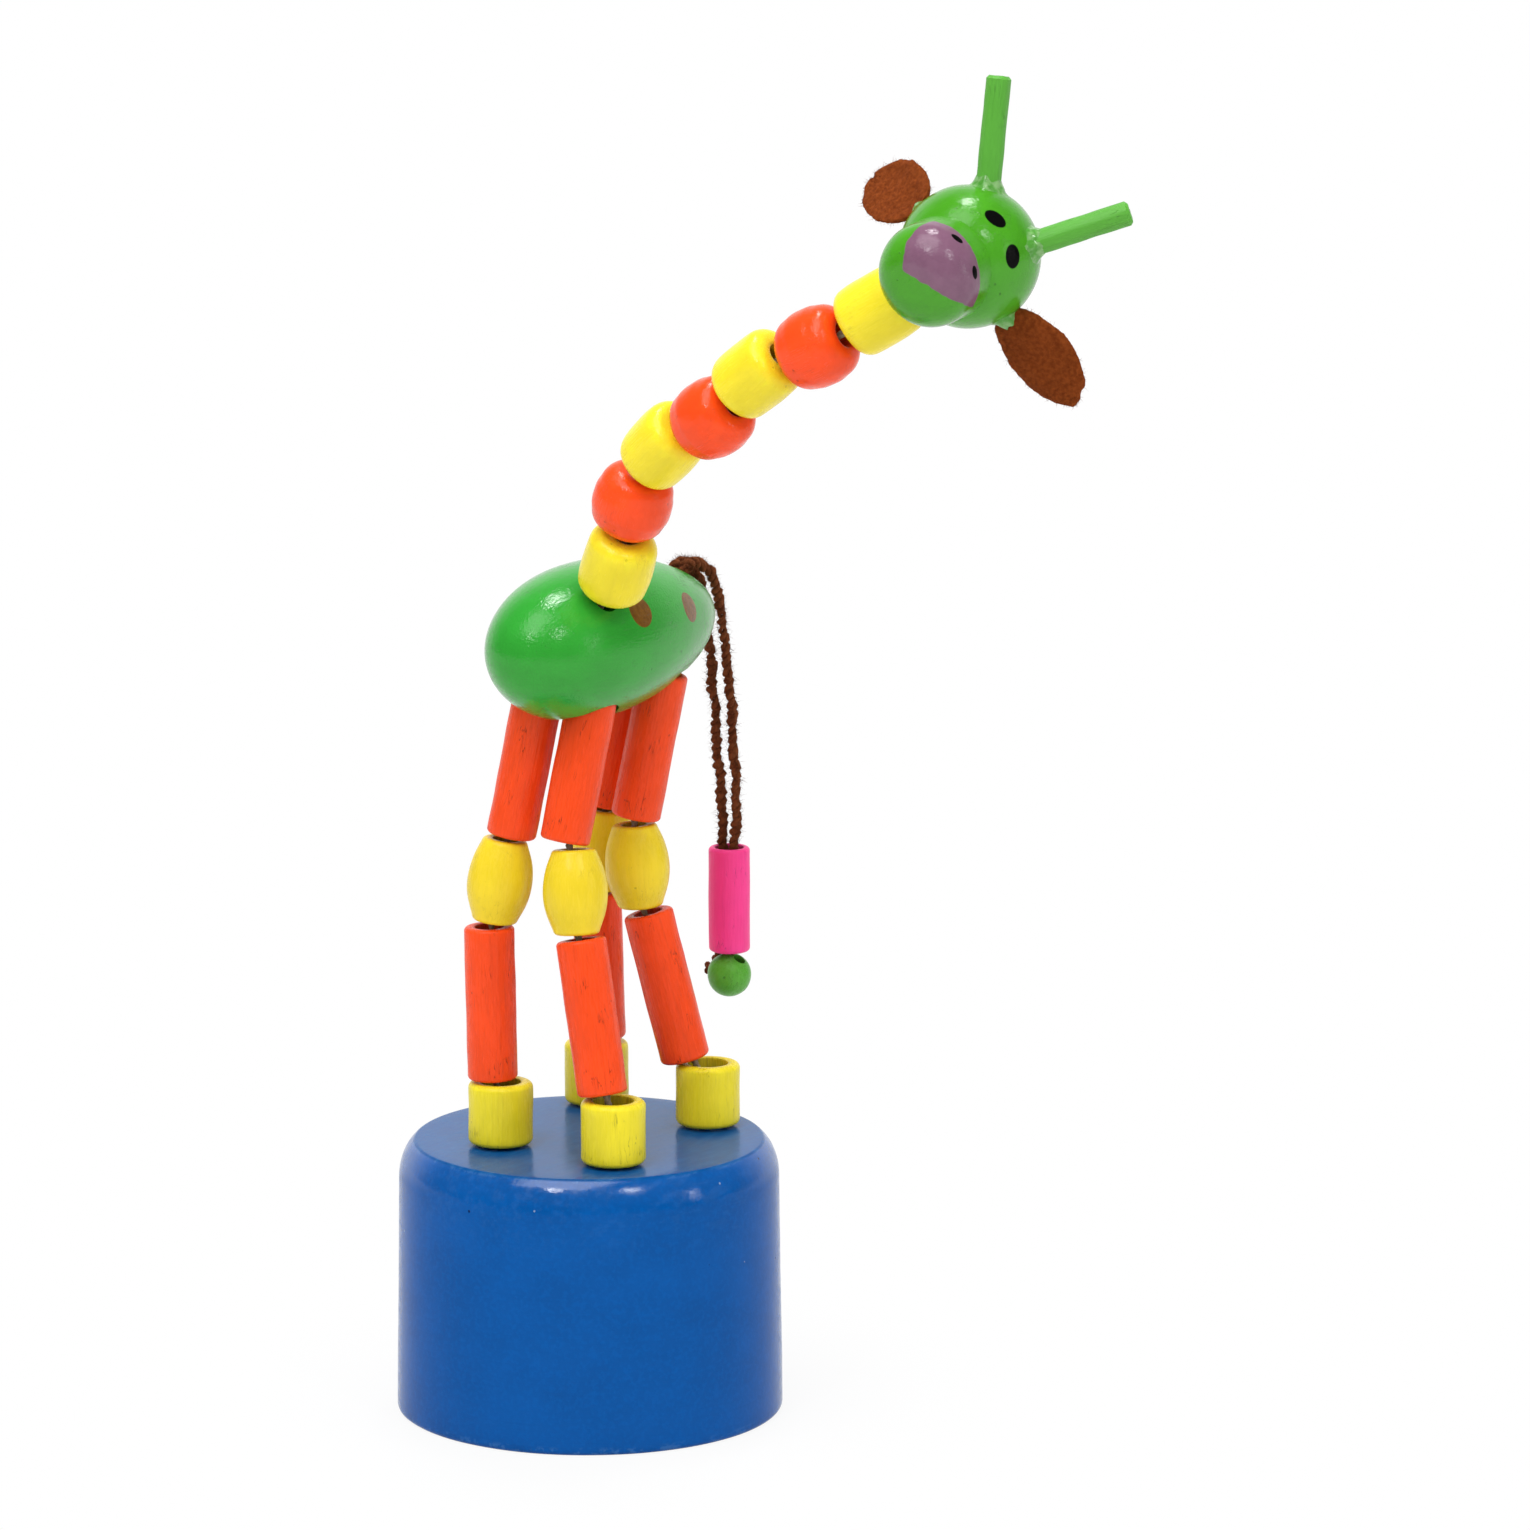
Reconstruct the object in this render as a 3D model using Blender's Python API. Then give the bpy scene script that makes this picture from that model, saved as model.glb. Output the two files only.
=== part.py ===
"""Thumb push puppet: a giraffe of strung wooden beads standing on a drum base.

Cords run from a sprung thumb button in the base up through the feet, legs and body.
Pressing the button slackens them and the figure folds at its knees.
Metres, +Z up, the giraffe faces -Y, origin at the middle of the base's underside.
"""
import math

import bmesh
import bpy
from mathutils import Matrix, Vector

# Fits, and how large a joint's empty is drawn
GAP = 0.0003
CORD_RADIUS = 0.0005
HINGE_MARK_SIZE = 0.003

# Drum base
BASE_RADIUS = 0.0225
BASE_HEIGHT = 0.0321
BASE_TAPER = 0.0004
BASE_SHOULDER_DROP = 0.0046
BASE_SHOULDER_INSET = 0.0018
BASE_FOOT_ROUND = 0.0006
BASE_WALL = 0.0040
BASE_ROOF = 0.0068
BASE_CORD_HOLE_RADIUS = 0.0014

# Thumb button and its spring
BUTTON_RECESS = 0.0006
BUTTON_THICKNESS = 0.0062
BUTTON_CLEARANCE = 0.0004
BUTTON_EDGE_ROUND = 0.0006
BUTTON_CORD_SHARE = 0.80
BUTTON_HOLE_RADIUS = 0.0011
BUTTON_POCKET_RADIUS = 0.0022
BUTTON_POCKET_DEPTH = 0.0034
KNOT_RADIUS = 0.0015
SPRING_COIL_RADIUS = 0.0062
SPRING_WIRE_RADIUS = 0.0005
SPRING_TURNS = 6
SPRING_STEPS = 9

# Leg beads
FOOT_RADIUS = 0.00375
FOOT_HEIGHT = 0.0073
FOOT_ROUND = 0.0007
FOOT_BORE_RADIUS = 0.0023
LEG_RADIUS = 0.0029
LEG_ROUND = 0.0005
LEG_BORE_RADIUS = 0.0016
LOWER_LEG_LENGTH = 0.0180
UPPER_LEG_LENGTH = 0.0174
KNEE_RADIUS = 0.00375
KNEE_END_RADIUS = 0.0027
KNEE_LENGTH = 0.0098
KNEE_ROUND = 0.0006
KNEE_BORE_RADIUS = 0.0014
HIP_BORE_RADIUS = 0.0014
HIP_BORE_DEPTH = 0.0050
HIP_SEAT_ROOM = 0.0014
HIP_SEAT_DEPTH = 0.0041
HIP_SEAT_GAP = 0.0009

# The legs fold sideways, towards this heading from +X
FOLD_HEADING = math.radians(212)

# Where each foot stands and how its leg leans: degrees towards the fold side for the lower
# bead, knee and upper bead, degrees across it for the whole leg, and sideways slips
LEGS = {
    "front_left": {"foot": (0.0096, -0.0096), "leans": (8, 2, -11), "across": 8.0,
                   "slips": (0.0012, 0.0004, 0.0010)},
    "front_right": {"foot": (-0.0065, -0.0087), "leans": (1, -8, -11), "across": 0.0,
                    "slips": (0.0009, -0.0006, -0.0006)},
    "rear_left": {"foot": (0.0088, 0.0119), "leans": (14, 4, -11), "across": 0.5,
                  "slips": (0.0026, 0.0007, -0.0002)},
    "rear_right": {"foot": (-0.0082, 0.0142), "leans": (1.5, -4, -11), "across": -6.0,
                   "slips": (-0.0006, -0.0004, 0.0)},
}
BODY_LEG = "front_left"

# Egg-shaped body, lying along Y
BODY_X = 0.0013
BODY_Y = 0.0022
BODY_HALF_LENGTH = 0.0201
BODY_RADIUS = 0.0089
BODY_TAPER = 0.20
NECK_SEAT_ROLL = math.radians(44.6)
NECK_SEAT_FORWARD = 0.0096
NECK_HOLE_RADIUS = 0.0016
NECK_HOLE_DEPTH = 0.0045
TAIL_HOLE_BACK = 0.0148
TAIL_HOLE_RADIUS = 0.0022
TAIL_HOLE_DEPTH = 0.0035

# Neck beads, bottom to top: lean of each from upright, heading from +X and slip downhill
NECK_LEANS = (30.5, 28, 50, 60.5, 53.5, 64, 58)
NECK_HEADINGS = (-27.5, -22, -16, -10, -5.5, 2.5, 15.5)
NECK_SLIPS = (-0.0003, -0.0009, 0.0002, 0.0012, -0.0012, 0.0011, -0.0004)
YELLOW_RADIUS = 0.0041
YELLOW_END_RADIUS = 0.0040
YELLOW_ROUND = 0.0016
YELLOW_LENGTH = 0.0082
ORANGE_RADIUS = 0.0045
ORANGE_END_RADIUS = 0.0042
ORANGE_ROUND = 0.0021
ORANGE_LENGTH = 0.0077
NECK_BORE_RADIUS = 0.0014

# Head
HEAD_RADIUS = 0.0079
HEAD_TURN = math.radians(13)
SNOUT_RADIUS = 0.0058
SNOUT_REACH = 0.0128
SNOUT_ROUND = 0.0042
SNOUT_DROP = math.radians(15)
HEAD_BORE_RADIUS = 0.0014
HEAD_BORE_DEPTH = 0.0060
HORN_RADIUS = 0.0014
HORN_LENGTH = 0.0150
HORN_EDGE = 0.0003
# In the head's own frame, X to its left and Z up the neck: where each is seated, where it points
# and how deep a horn was glued in
HORNS = {
    "left": {"seat": (0.32, -0.05, 0.95), "points": (0.21, 0.24, 0.95), "depth": 0.0042},
    "right": {"seat": (-0.70, 0.11, 0.70), "points": (-0.81, 0.09, 0.58), "depth": 0.0029},
}
EAR_LENGTH = 0.0126
EAR_WIDTH = 0.0076
EAR_THICKNESS = 0.0010
EAR_ROOT_LENGTH = 0.0022
EAR_ROOT_WIDTH = 0.0022
EAR_TIP_WIDTH = 0.0010
EAR_CUP = 0.0008
EAR_ROOT_CUP = 0.0003
EAR_ROOT_CUT = 0.07
EAR_SOCKET_RADIUS = 0.0017
EARS = {
    "left": {"seat": (1.00, 0.03, 0.02), "points": (0.97, 0.25, 0.08), "twist": math.radians(30)},
    "right": {"seat": (-0.93, 0.18, -0.32), "points": (-0.49, 0.74, -0.46), "twist": math.radians(117)},
}

# Tail: two strands of yarn, a long bead, a ball and a knot
YARN_RADIUS = 0.0006
YARN_APART = 0.0015
YARN_SPREAD = 0.0023
YARN_TUCK = 0.0020
TAIL_ROUTE = ((0.0, -0.0006), (0.0010, 0.0005), (0.0032, 0.0005), (0.0060, -0.0016),
              (0.0080, -0.0056), (0.0092, -0.0107), (0.0099, -0.0167), (0.0106, -0.0235),
              (0.0112, -0.0308), (0.0115, -0.0369))
# The point of the route where the yarn leaves the rump and swings
TAIL_BEND = 5
TAIL_BEAD_RADIUS = 0.00245
TAIL_BEAD_LENGTH = 0.0126
TAIL_BEAD_ROUND = 0.0005
TAIL_BORE_RADIUS = 0.00165
TAIL_BALL_RADIUS = 0.0026
TAIL_BALL_BORE_RADIUS = 0.0008
TAIL_BALL_TILT = math.radians(35)
TAIL_KNOT_RADIUS = 0.0012
TAIL_KNOT_HEADING = math.radians(152)

# Facets round and along each kind of piece, and the angle from which an edge stays sharp
BASE_SIDES = 40
SHOULDER_STEPS = 5
BODY_SIDES = 24
BODY_RINGS = 14
BEAD_SIDES = 14
SMALL_SIDES = 10
SMALL_RINGS = 6
EAR_ROWS = 10
EAR_COLUMNS = 6
SHARP_ANGLE = math.radians(40)

UP = Vector((0, 0, 1))
FOLD_SIDE = Vector((math.cos(FOLD_HEADING), math.sin(FOLD_HEADING), 0))
ACROSS = Vector((FOLD_SIDE.y, -FOLD_SIDE.x, 0))


# Materials: name to colour and roughness
FINISHES = {
    "blue_paint": ((0.005, 0.095, 0.347), 0.38),
    "yellow_paint": ((0.84, 0.66, 0.025), 0.40),
    "orange_paint": ((0.95, 0.075, 0.014), 0.38),
    "green_paint": ((0.035, 0.335, 0.035), 0.42),
    "light_green_paint": ((0.10, 0.38, 0.045), 0.42),
    "pink_paint": ((0.95, 0.055, 0.25), 0.40),
    "bare_wood": ((0.62, 0.42, 0.24), 0.60),
    "spring_steel": ((0.60, 0.60, 0.58), 0.30),
    "white_cord": ((0.75, 0.73, 0.68), 0.85),
    "brown_yarn": ((0.090, 0.022, 0.006), 0.95),
    "brown_felt": ((0.170, 0.040, 0.008), 0.95),
}


def make_materials():
    materials = {}
    for name, (colour, roughness) in FINISHES.items():
        material = bpy.data.materials.new(name)
        material.use_nodes = True
        shader = material.node_tree.nodes["Principled BSDF"]
        shader.inputs["Base Color"].default_value = (*colour, 1.0)
        shader.inputs["Roughness"].default_value = roughness
        shader.inputs["Metallic"].default_value = 1.0 if name == "spring_steel" else 0.0
        materials[name] = material
    return materials


def rotation_to(direction):
    return UP.rotation_difference(direction).to_matrix().to_4x4()


def leaning(fold_degrees, across_degrees):
    fold = math.tan(math.radians(fold_degrees))
    across = math.tan(math.radians(across_degrees))
    return (FOLD_SIDE * fold + ACROSS * across + UP).normalized()


def add_object(name, mesh, material):
    obj = bpy.data.objects.new(name, mesh)
    bpy.context.scene.collection.objects.link(obj)
    mesh.materials.append(MATERIALS[material])
    return obj


def finish_mesh(name, bm):
    bmesh.ops.recalc_face_normals(bm, faces=bm.faces)
    mesh = bpy.data.meshes.new(name)
    bm.to_mesh(mesh)
    bm.free()
    mesh.shade_smooth()
    mesh.set_sharp_from_angle(angle=SHARP_ANGLE)
    return mesh


def turned_mesh(name, profile, sides):
    """Turns a closed outline of (radius, height) points about Z; radius 0 makes a pole."""
    bm = bmesh.new()
    rings = []
    for radius, height in profile:
        if radius <= 0:
            rings.append([bm.verts.new((0, 0, height))])
            continue
        ring = []
        for side in range(sides):
            angle = 2 * math.pi * side / sides
            ring.append(bm.verts.new((radius * math.cos(angle), radius * math.sin(angle), height)))
        rings.append(ring)
    for index, ring in enumerate(rings):
        following = rings[(index + 1) % len(rings)]
        if len(ring) == 1 and len(following) == 1:
            continue
        for side in range(sides):
            after = (side + 1) % sides
            corners = [ring[side % len(ring)], ring[after % len(ring)],
                       following[after % len(following)], following[side % len(following)]]
            bm.faces.new(list(dict.fromkeys(corners)))
    return finish_mesh(name, bm)


def arc(centre_r, centre_z, radius, start, end, steps):
    points = []
    for step in range(steps + 1):
        angle = math.radians(start + (end - start) * step / steps)
        points.append((centre_r + radius * math.cos(angle), centre_z + radius * math.sin(angle)))
    return points


def ball_profile(radius, rings):
    return [(0, radius), *arc(0, 0, radius, 90, -90, rings)[1:-1], (0, -radius)]


def bead_profile(length, belly, end, edge, bore, belly_steps=1, edge_steps=2):
    """Outline of a bored bead from z = 0 to length, belly wide in the middle."""
    points = [(bore, 0.0)]
    points += arc(end - edge, edge, edge, -90, -20, edge_steps)
    for step in range(1, belly_steps):
        share = step / belly_steps
        bulge = 1 - (2 * share - 1) ** 2
        points.append((end + (belly - end) * bulge, edge + (length - 2 * edge) * share))
    points += arc(end - edge, length - edge, edge, 20, 90, edge_steps)
    points.append((bore, length))
    return points


def hinge_empty(name, position, parent):
    empty = bpy.data.objects.new(name, None)
    empty.empty_display_size = HINGE_MARK_SIZE
    bpy.context.scene.collection.objects.link(empty)
    empty.location = position
    if parent is not None:
        empty.parent = parent
        empty.location = position - ORIGINS[parent.name]
    ORIGINS[name] = position
    return empty


def place(obj, matrix, carrier):
    """Puts an object at a world matrix, carried by an empty with no rotation of its own."""
    if carrier is None:
        obj.matrix_world = matrix
        return obj
    obj.parent = carrier
    obj.matrix_basis = Matrix.Translation(-ORIGINS[carrier.name]) @ matrix
    return obj


def cutter(name, mesh, matrix):
    obj = bpy.data.objects.new(name, mesh)
    bpy.context.scene.collection.objects.link(obj)
    obj.matrix_world = matrix
    obj.hide_render = True
    obj.display_type = "WIRE"
    return obj


def cut(obj, tool, operation="DIFFERENCE"):
    modifier = obj.modifiers.new(tool.name, "BOOLEAN")
    modifier.operation = operation
    modifier.object = tool
    modifier.solver = "EXACT"


def rod_mesh(name, radius, low, high, sides=SMALL_SIDES):
    return turned_mesh(name, [(0, low), (radius, low), (radius, high), (0, high)], sides)


def smooth_route(points, steps):
    """Points read from a Catmull-Rom curve through the given points."""
    padded = [points[0] * 2 - points[1], *points, points[-1] * 2 - points[-2]]
    route = []
    for index in range(1, len(padded) - 2):
        before, start, end, after = padded[index - 1:index + 3]
        for step in range(steps):
            t = step / steps
            route.append(0.5 * (2 * start + (end - before) * t
                                + (2 * before - 5 * start + 4 * end - after) * t ** 2
                                + (3 * start - before - 3 * end + after) * t ** 3))
    route.append(points[-1])
    return route


def tube(name, route, radius, material, carrier, resolution=2):
    """A round cord or wire along a list of world points."""
    curve = bpy.data.curves.new(name, "CURVE")
    curve.dimensions = "3D"
    curve.bevel_depth = radius
    curve.bevel_resolution = resolution
    curve.use_fill_caps = True
    spline = curve.splines.new("POLY")
    spline.points.add(len(route) - 1)
    origin = ORIGINS[carrier.name] if carrier else Vector((0, 0, 0))
    for point, position in zip(spline.points, route):
        point.co = (*(position - origin), 1.0)
    curve.materials.append(MATERIALS[material])
    obj = bpy.data.objects.new(name, curve)
    bpy.context.scene.collection.objects.link(obj)
    obj.parent = carrier
    return obj


class End:
    """The flat end of a bead: its middle, outward axis, flat radius and edge rounding."""

    def __init__(self, middle, axis, flat, edge):
        self.middle = middle
        self.axis = axis
        self.flat = flat
        self.edge = edge


def rest_on(below, axis, flat, edge, slip, pivot_side):
    """Stands a bead on an end so that rim and face clear by GAP.

    Returns the middle of its lower end and the pivot on the rim that it rocks over.
    """
    tilt = below.axis.angle(axis, 0.0)
    side = (pivot_side - below.axis * pivot_side.dot(below.axis)).normalized()
    reach = slip.dot(side) + flat
    if reach <= below.flat:
        lift = flat * math.sin(tilt) + edge * (1 - math.cos(tilt)) + GAP
        middle = below.middle + slip + below.axis * lift
        outward = (side - axis * side.dot(axis)).normalized()
        return middle, middle + axis * edge + outward * flat
    rim = below.flat - slip.dot(side)
    lift = (rim * math.sin(tilt) + below.edge * (1 - math.cos(tilt)) + GAP) / math.cos(tilt)
    middle = below.middle + slip + below.axis * lift
    return middle, below.middle + side * below.flat - below.axis * below.edge


def base_parts():
    """Turned drum, open below, with a cord hole under each foot."""
    top_radius = BASE_RADIUS - BASE_TAPER
    flat = top_radius - BASE_SHOULDER_INSET
    inner = BASE_RADIUS - BASE_WALL
    roof = BASE_HEIGHT - BASE_ROOF
    profile = [(0, BASE_HEIGHT), (flat, BASE_HEIGHT)]
    for step in range(1, SHOULDER_STEPS + 1):
        angle = math.pi / 2 * step / SHOULDER_STEPS
        profile.append((flat + BASE_SHOULDER_INSET * math.sin(angle),
                        BASE_HEIGHT - BASE_SHOULDER_DROP * (1 - math.cos(angle))))
    profile += arc(BASE_RADIUS - BASE_FOOT_ROUND, BASE_FOOT_ROUND, BASE_FOOT_ROUND, 0, -90, 2)
    profile += [(inner, 0), (inner, roof), (0, roof)]
    base = add_object("base", turned_mesh("base", profile, BASE_SIDES), "blue_paint")
    for name, leg in LEGS.items():
        drill = rod_mesh("drill", BASE_CORD_HOLE_RADIUS, roof - GAP, BASE_HEIGHT + GAP)
        spot = Matrix.Translation((*leg["foot"], 0))
        cut(base, cutter("base_hole_" + name, drill, spot))
    return base


def button_parts():
    """Thumb disc with pocketed cord holes, the four knots in them and the return spring."""
    carrier = hinge_empty("button_push", Vector((0, 0, BUTTON_RECESS)), None)
    radius = BASE_RADIUS - BASE_WALL - BUTTON_CLEARANCE
    profile = [(0, BUTTON_THICKNESS)]
    edge = BUTTON_EDGE_ROUND
    profile += reversed(arc(radius - edge, BUTTON_THICKNESS - edge, edge, 0, 90, 2))
    profile += reversed(arc(radius - edge, edge, edge, -90, 0, 2))
    profile.append((0, 0))
    mesh = turned_mesh("thumb_button", profile, BASE_SIDES)
    button = add_object("thumb_button", mesh, "bare_wood")
    place(button, Matrix.Translation((0, 0, BUTTON_RECESS)), carrier)
    pocket = [(0, BUTTON_THICKNESS + GAP), (BUTTON_HOLE_RADIUS, BUTTON_THICKNESS + GAP),
              (BUTTON_HOLE_RADIUS, BUTTON_POCKET_DEPTH), (BUTTON_POCKET_RADIUS, BUTTON_POCKET_DEPTH),
              (BUTTON_POCKET_RADIUS, -GAP), (0, -GAP)]
    for name, leg in LEGS.items():
        spot = Vector((*leg["foot"], 0)) * BUTTON_CORD_SHARE + UP * BUTTON_RECESS
        drill = turned_mesh("pocket", pocket, SMALL_SIDES)
        cut(button, cutter("button_hole_" + name, drill, Matrix.Translation(spot)))
        ball = ball_profile(KNOT_RADIUS, SMALL_RINGS)
        knot = add_object("cord_knot_" + name, turned_mesh("knot", ball, SMALL_SIDES), "white_cord")
        middle = spot + UP * (BUTTON_POCKET_DEPTH - GAP - KNOT_RADIUS)
        place(knot, Matrix.Translation(middle), carrier)
    low = BUTTON_RECESS + BUTTON_THICKNESS + SPRING_WIRE_RADIUS + GAP
    high = BASE_HEIGHT - BASE_ROOF - SPRING_WIRE_RADIUS - GAP
    coil = []
    for step in range(SPRING_TURNS * SPRING_STEPS + 1):
        turn = step / SPRING_STEPS
        angle = 2 * math.pi * turn
        height = low + (high - low) * turn / SPRING_TURNS
        coil.append(Vector((SPRING_COIL_RADIUS * math.cos(angle),
                            SPRING_COIL_RADIUS * math.sin(angle), height)))
    pitch = (high - low) / SPRING_TURNS
    print("spring: least gap between turns %.2f mm" % (1000 * (pitch - 2 * SPRING_WIRE_RADIUS)))
    tube("button_spring", coil, SPRING_WIRE_RADIUS, "spring_steel", None, resolution=1)


def leg_beads(name, leg):
    """Foot, lower bead, knee and upper bead of one leg; returns what the cord and body need."""
    spot = Vector((*leg["foot"], BASE_HEIGHT + GAP))
    foot_mesh = turned_mesh("foot", bead_profile(FOOT_HEIGHT, FOOT_RADIUS, FOOT_RADIUS, FOOT_ROUND,
                                                 FOOT_BORE_RADIUS), BEAD_SIDES)
    place(add_object("foot_" + name, foot_mesh, "yellow_paint"), Matrix.Translation(spot), None)
    straight = {"radius": LEG_RADIUS, "end": LEG_RADIUS, "edge": LEG_ROUND,
                "bore": LEG_BORE_RADIUS, "paint": "orange_paint", "steps": 1}
    barrel = {"radius": KNEE_RADIUS, "end": KNEE_END_RADIUS, "edge": KNEE_ROUND,
              "bore": KNEE_BORE_RADIUS, "paint": "yellow_paint", "steps": 4}
    beads = (("lower_leg_" + name, "ankle_" + name, LOWER_LEG_LENGTH, straight, 1),
             ("knee_" + name, "knee_low_" + name, KNEE_LENGTH, barrel, -1),
             ("upper_leg_" + name, "knee_high_" + name, UPPER_LEG_LENGTH, straight, -1))
    top = End(spot + UP * FOOT_HEIGHT, UP, FOOT_RADIUS - FOOT_ROUND, FOOT_ROUND)
    bores = [(spot, top.middle, FOOT_BORE_RADIUS)]
    carrier = None
    for (node, hinge, length, kind, way), lean, slip in zip(beads, leg["leans"], leg["slips"]):
        axis = leaning(lean, leg["across"])
        flat = kind["end"] - kind["edge"]
        middle, pivot = rest_on(top, axis, flat, kind["edge"], FOLD_SIDE * slip, FOLD_SIDE * way)
        carrier = hinge_empty(hinge, pivot, carrier)
        profile = bead_profile(length, kind["radius"], kind["end"], kind["edge"], kind["bore"],
                               kind["steps"])
        bead = add_object(node, turned_mesh(node, profile, BEAD_SIDES), kind["paint"])
        place(bead, Matrix.Translation(middle) @ rotation_to(axis), carrier)
        top = End(middle + axis * length, axis, flat, kind["edge"])
        bores.append((middle, top.middle, kind["bore"]))
    return {"top": top, "bores": bores, "carrier": carrier}


def egg_radius(along):
    """Radius of the body at a distance from its middle, positive towards the rear."""
    share = max(-1.0, min(1.0, along / BODY_HALF_LENGTH))
    return BODY_RADIUS * math.sqrt(1 - share ** 2) * (1 - BODY_TAPER * share)


def body_height(legs):
    """Height of the body's middle at which its highest leg stands HIP_SEAT_DEPTH deep in it."""
    needed = 0.0
    for leg in legs.values():
        top = leg["top"]
        turn = rotation_to(top.axis)
        for side in range(BODY_SIDES):
            angle = 2 * math.pi * side / BODY_SIDES
            rim = top.middle + turn @ Vector((top.flat * math.cos(angle), top.flat * math.sin(angle), 0))
            radius = egg_radius(rim.y - BODY_Y)
            drop = math.sqrt(max(radius ** 2 - (rim.x - BODY_X) ** 2, 0))
            needed = max(needed, rim.z + drop + GAP)
    return needed - HIP_SEAT_DEPTH


def body_surface(along, roll, centre):
    """Point and outward normal of the egg at a distance along it and a roll from the top."""
    radius = egg_radius(along)
    step = GAP
    slope = (egg_radius(along + step) - egg_radius(along - step)) / (2 * step)
    ray = Vector((math.sin(roll), 0, math.cos(roll)))
    return centre + Vector((0, along, 0)) + ray * radius, (ray - Vector((0, slope, 0))).normalized()


def body_parts(legs):
    """Egg with a seat and a blind hole over each leg, a neck hole and a tail hole.

    Each seat is drawn out towards the fold side, so that its leg can swing in it.
    """
    centre = Vector((BODY_X, BODY_Y, body_height(legs)))
    support = legs[BODY_LEG]["top"]
    pivot = support.middle + FOLD_SIDE * support.flat - support.axis * support.edge
    carrier = hinge_empty("hip_" + BODY_LEG, pivot, legs[BODY_LEG]["carrier"])
    profile = [(0, BODY_HALF_LENGTH)]
    for step in range(1, BODY_RINGS):
        along = BODY_HALF_LENGTH * math.cos(math.pi * step / BODY_RINGS)
        profile.append((egg_radius(along), along))
    profile.append((0, -BODY_HALF_LENGTH))
    body = add_object("body", turned_mesh("body", profile, BODY_SIDES), "green_paint")
    place(body, Matrix.Translation(centre) @ Matrix.Rotation(-math.pi / 2, 4, "X"), carrier)
    for name, leg in legs.items():
        top = leg["top"]
        drill = rod_mesh("hip_bore", HIP_BORE_RADIUS, -BODY_RADIUS, HIP_BORE_DEPTH)
        cut(body, cutter("hip_bore_" + name, drill, Matrix.Translation(top.middle)))
        stance = Matrix.Translation(top.middle) @ rotation_to(top.axis)
        for part, shift in (("rest", 0.0), ("swing", HIP_SEAT_ROOM)):
            face = rod_mesh("hip_seat", LEG_RADIUS + GAP, -BODY_RADIUS, HIP_SEAT_GAP, BODY_SIDES)
            spot = Matrix.Translation(FOLD_SIDE * shift) @ stance
            cut(body, cutter("hip_%s_%s" % (part, name), face, spot))
    seat, normal = body_surface(-NECK_SEAT_FORWARD, NECK_SEAT_ROLL, centre)
    drill = rod_mesh("neck", NECK_HOLE_RADIUS, -NECK_HOLE_DEPTH, BODY_RADIUS)
    cut(body, cutter("neck_hole", drill, Matrix.Translation(seat) @ rotation_to(normal)))
    rump, rump_normal = body_surface(TAIL_HOLE_BACK, 0.0, centre)
    drill = rod_mesh("tail", TAIL_HOLE_RADIUS, -TAIL_HOLE_DEPTH, BODY_RADIUS)
    cut(body, cutter("tail_hole", drill, Matrix.Translation(rump) @ rotation_to(rump_normal)))
    return {"carrier": carrier, "seat": End(seat, normal, BODY_RADIUS, 0.0), "rump": rump}


def leg_cord(name, leg):
    """Cord from its knot in the button, up the bores of one leg and into the body."""
    hole = Vector((*LEGS[name]["foot"], 0))
    knot_top = BUTTON_RECESS + BUTTON_POCKET_DEPTH
    route = [hole * BUTTON_CORD_SHARE + UP * (knot_top + GAP / 2),
             hole * BUTTON_CORD_SHARE + UP * (BUTTON_RECESS + BUTTON_THICKNESS + GAP),
             hole + UP * (BASE_HEIGHT - BASE_ROOF - GAP),
             hole + UP * (BASE_HEIGHT + GAP)]
    bores = leg["bores"]
    for index, (low, high, bore) in enumerate(bores):
        route.append((low + high) / 2)
        if index + 1 < len(bores):
            upper_low, upper_bore = bores[index + 1][0], bores[index + 1][2]
            share = (bore - CORD_RADIUS) / (bore + upper_bore - 2 * CORD_RADIUS)
            route.append(high.lerp(upper_low, share))
    top = leg["top"].middle
    route += [top, top + UP * (HIP_BORE_DEPTH - 2 * GAP)]
    tube("leg_cord_" + name, smooth_route(route, 2), CORD_RADIUS, "white_cord", None)


def neck_beads(body):
    """Seven beads, yellow and orange by turns, each rocking on the rim of the one below."""
    yellow = (YELLOW_LENGTH, YELLOW_RADIUS, YELLOW_END_RADIUS, YELLOW_ROUND, "yellow_paint")
    orange = (ORANGE_LENGTH, ORANGE_RADIUS, ORANGE_END_RADIUS, ORANGE_ROUND, "orange_paint")
    below = body["seat"]
    carrier = body["carrier"]
    bores = []
    for index, (lean, heading, slip) in enumerate(zip(NECK_LEANS, NECK_HEADINGS, NECK_SLIPS)):
        length, belly, end, edge, paint = (yellow, orange)[index % 2]
        turn = Matrix.Rotation(math.radians(heading), 3, "Z") @ Matrix.Rotation(math.radians(lean), 3, "Y")
        axis, downhill = turn @ UP, turn @ Vector((1, 0, 0))
        downhill = (downhill - below.axis * downhill.dot(below.axis)).normalized()
        flat = end - edge
        middle, pivot = rest_on(below, axis, flat, edge, downhill * slip,
                                axis - below.axis * axis.dot(below.axis))
        carrier = hinge_empty("neck_%d" % (index + 1), pivot, carrier)
        node = "neck_bead_%d" % (index + 1)
        profile = bead_profile(length, belly, end, edge, NECK_BORE_RADIUS, belly_steps=4, edge_steps=3)
        bead = add_object(node, turned_mesh(node, profile, BEAD_SIDES), paint)
        place(bead, Matrix.Translation(middle) @ rotation_to(axis), carrier)
        below = End(middle + axis * length, axis, flat, edge)
        bores.append((middle, below.middle))
    return {"top": below, "carrier": carrier, "bores": bores}


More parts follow.
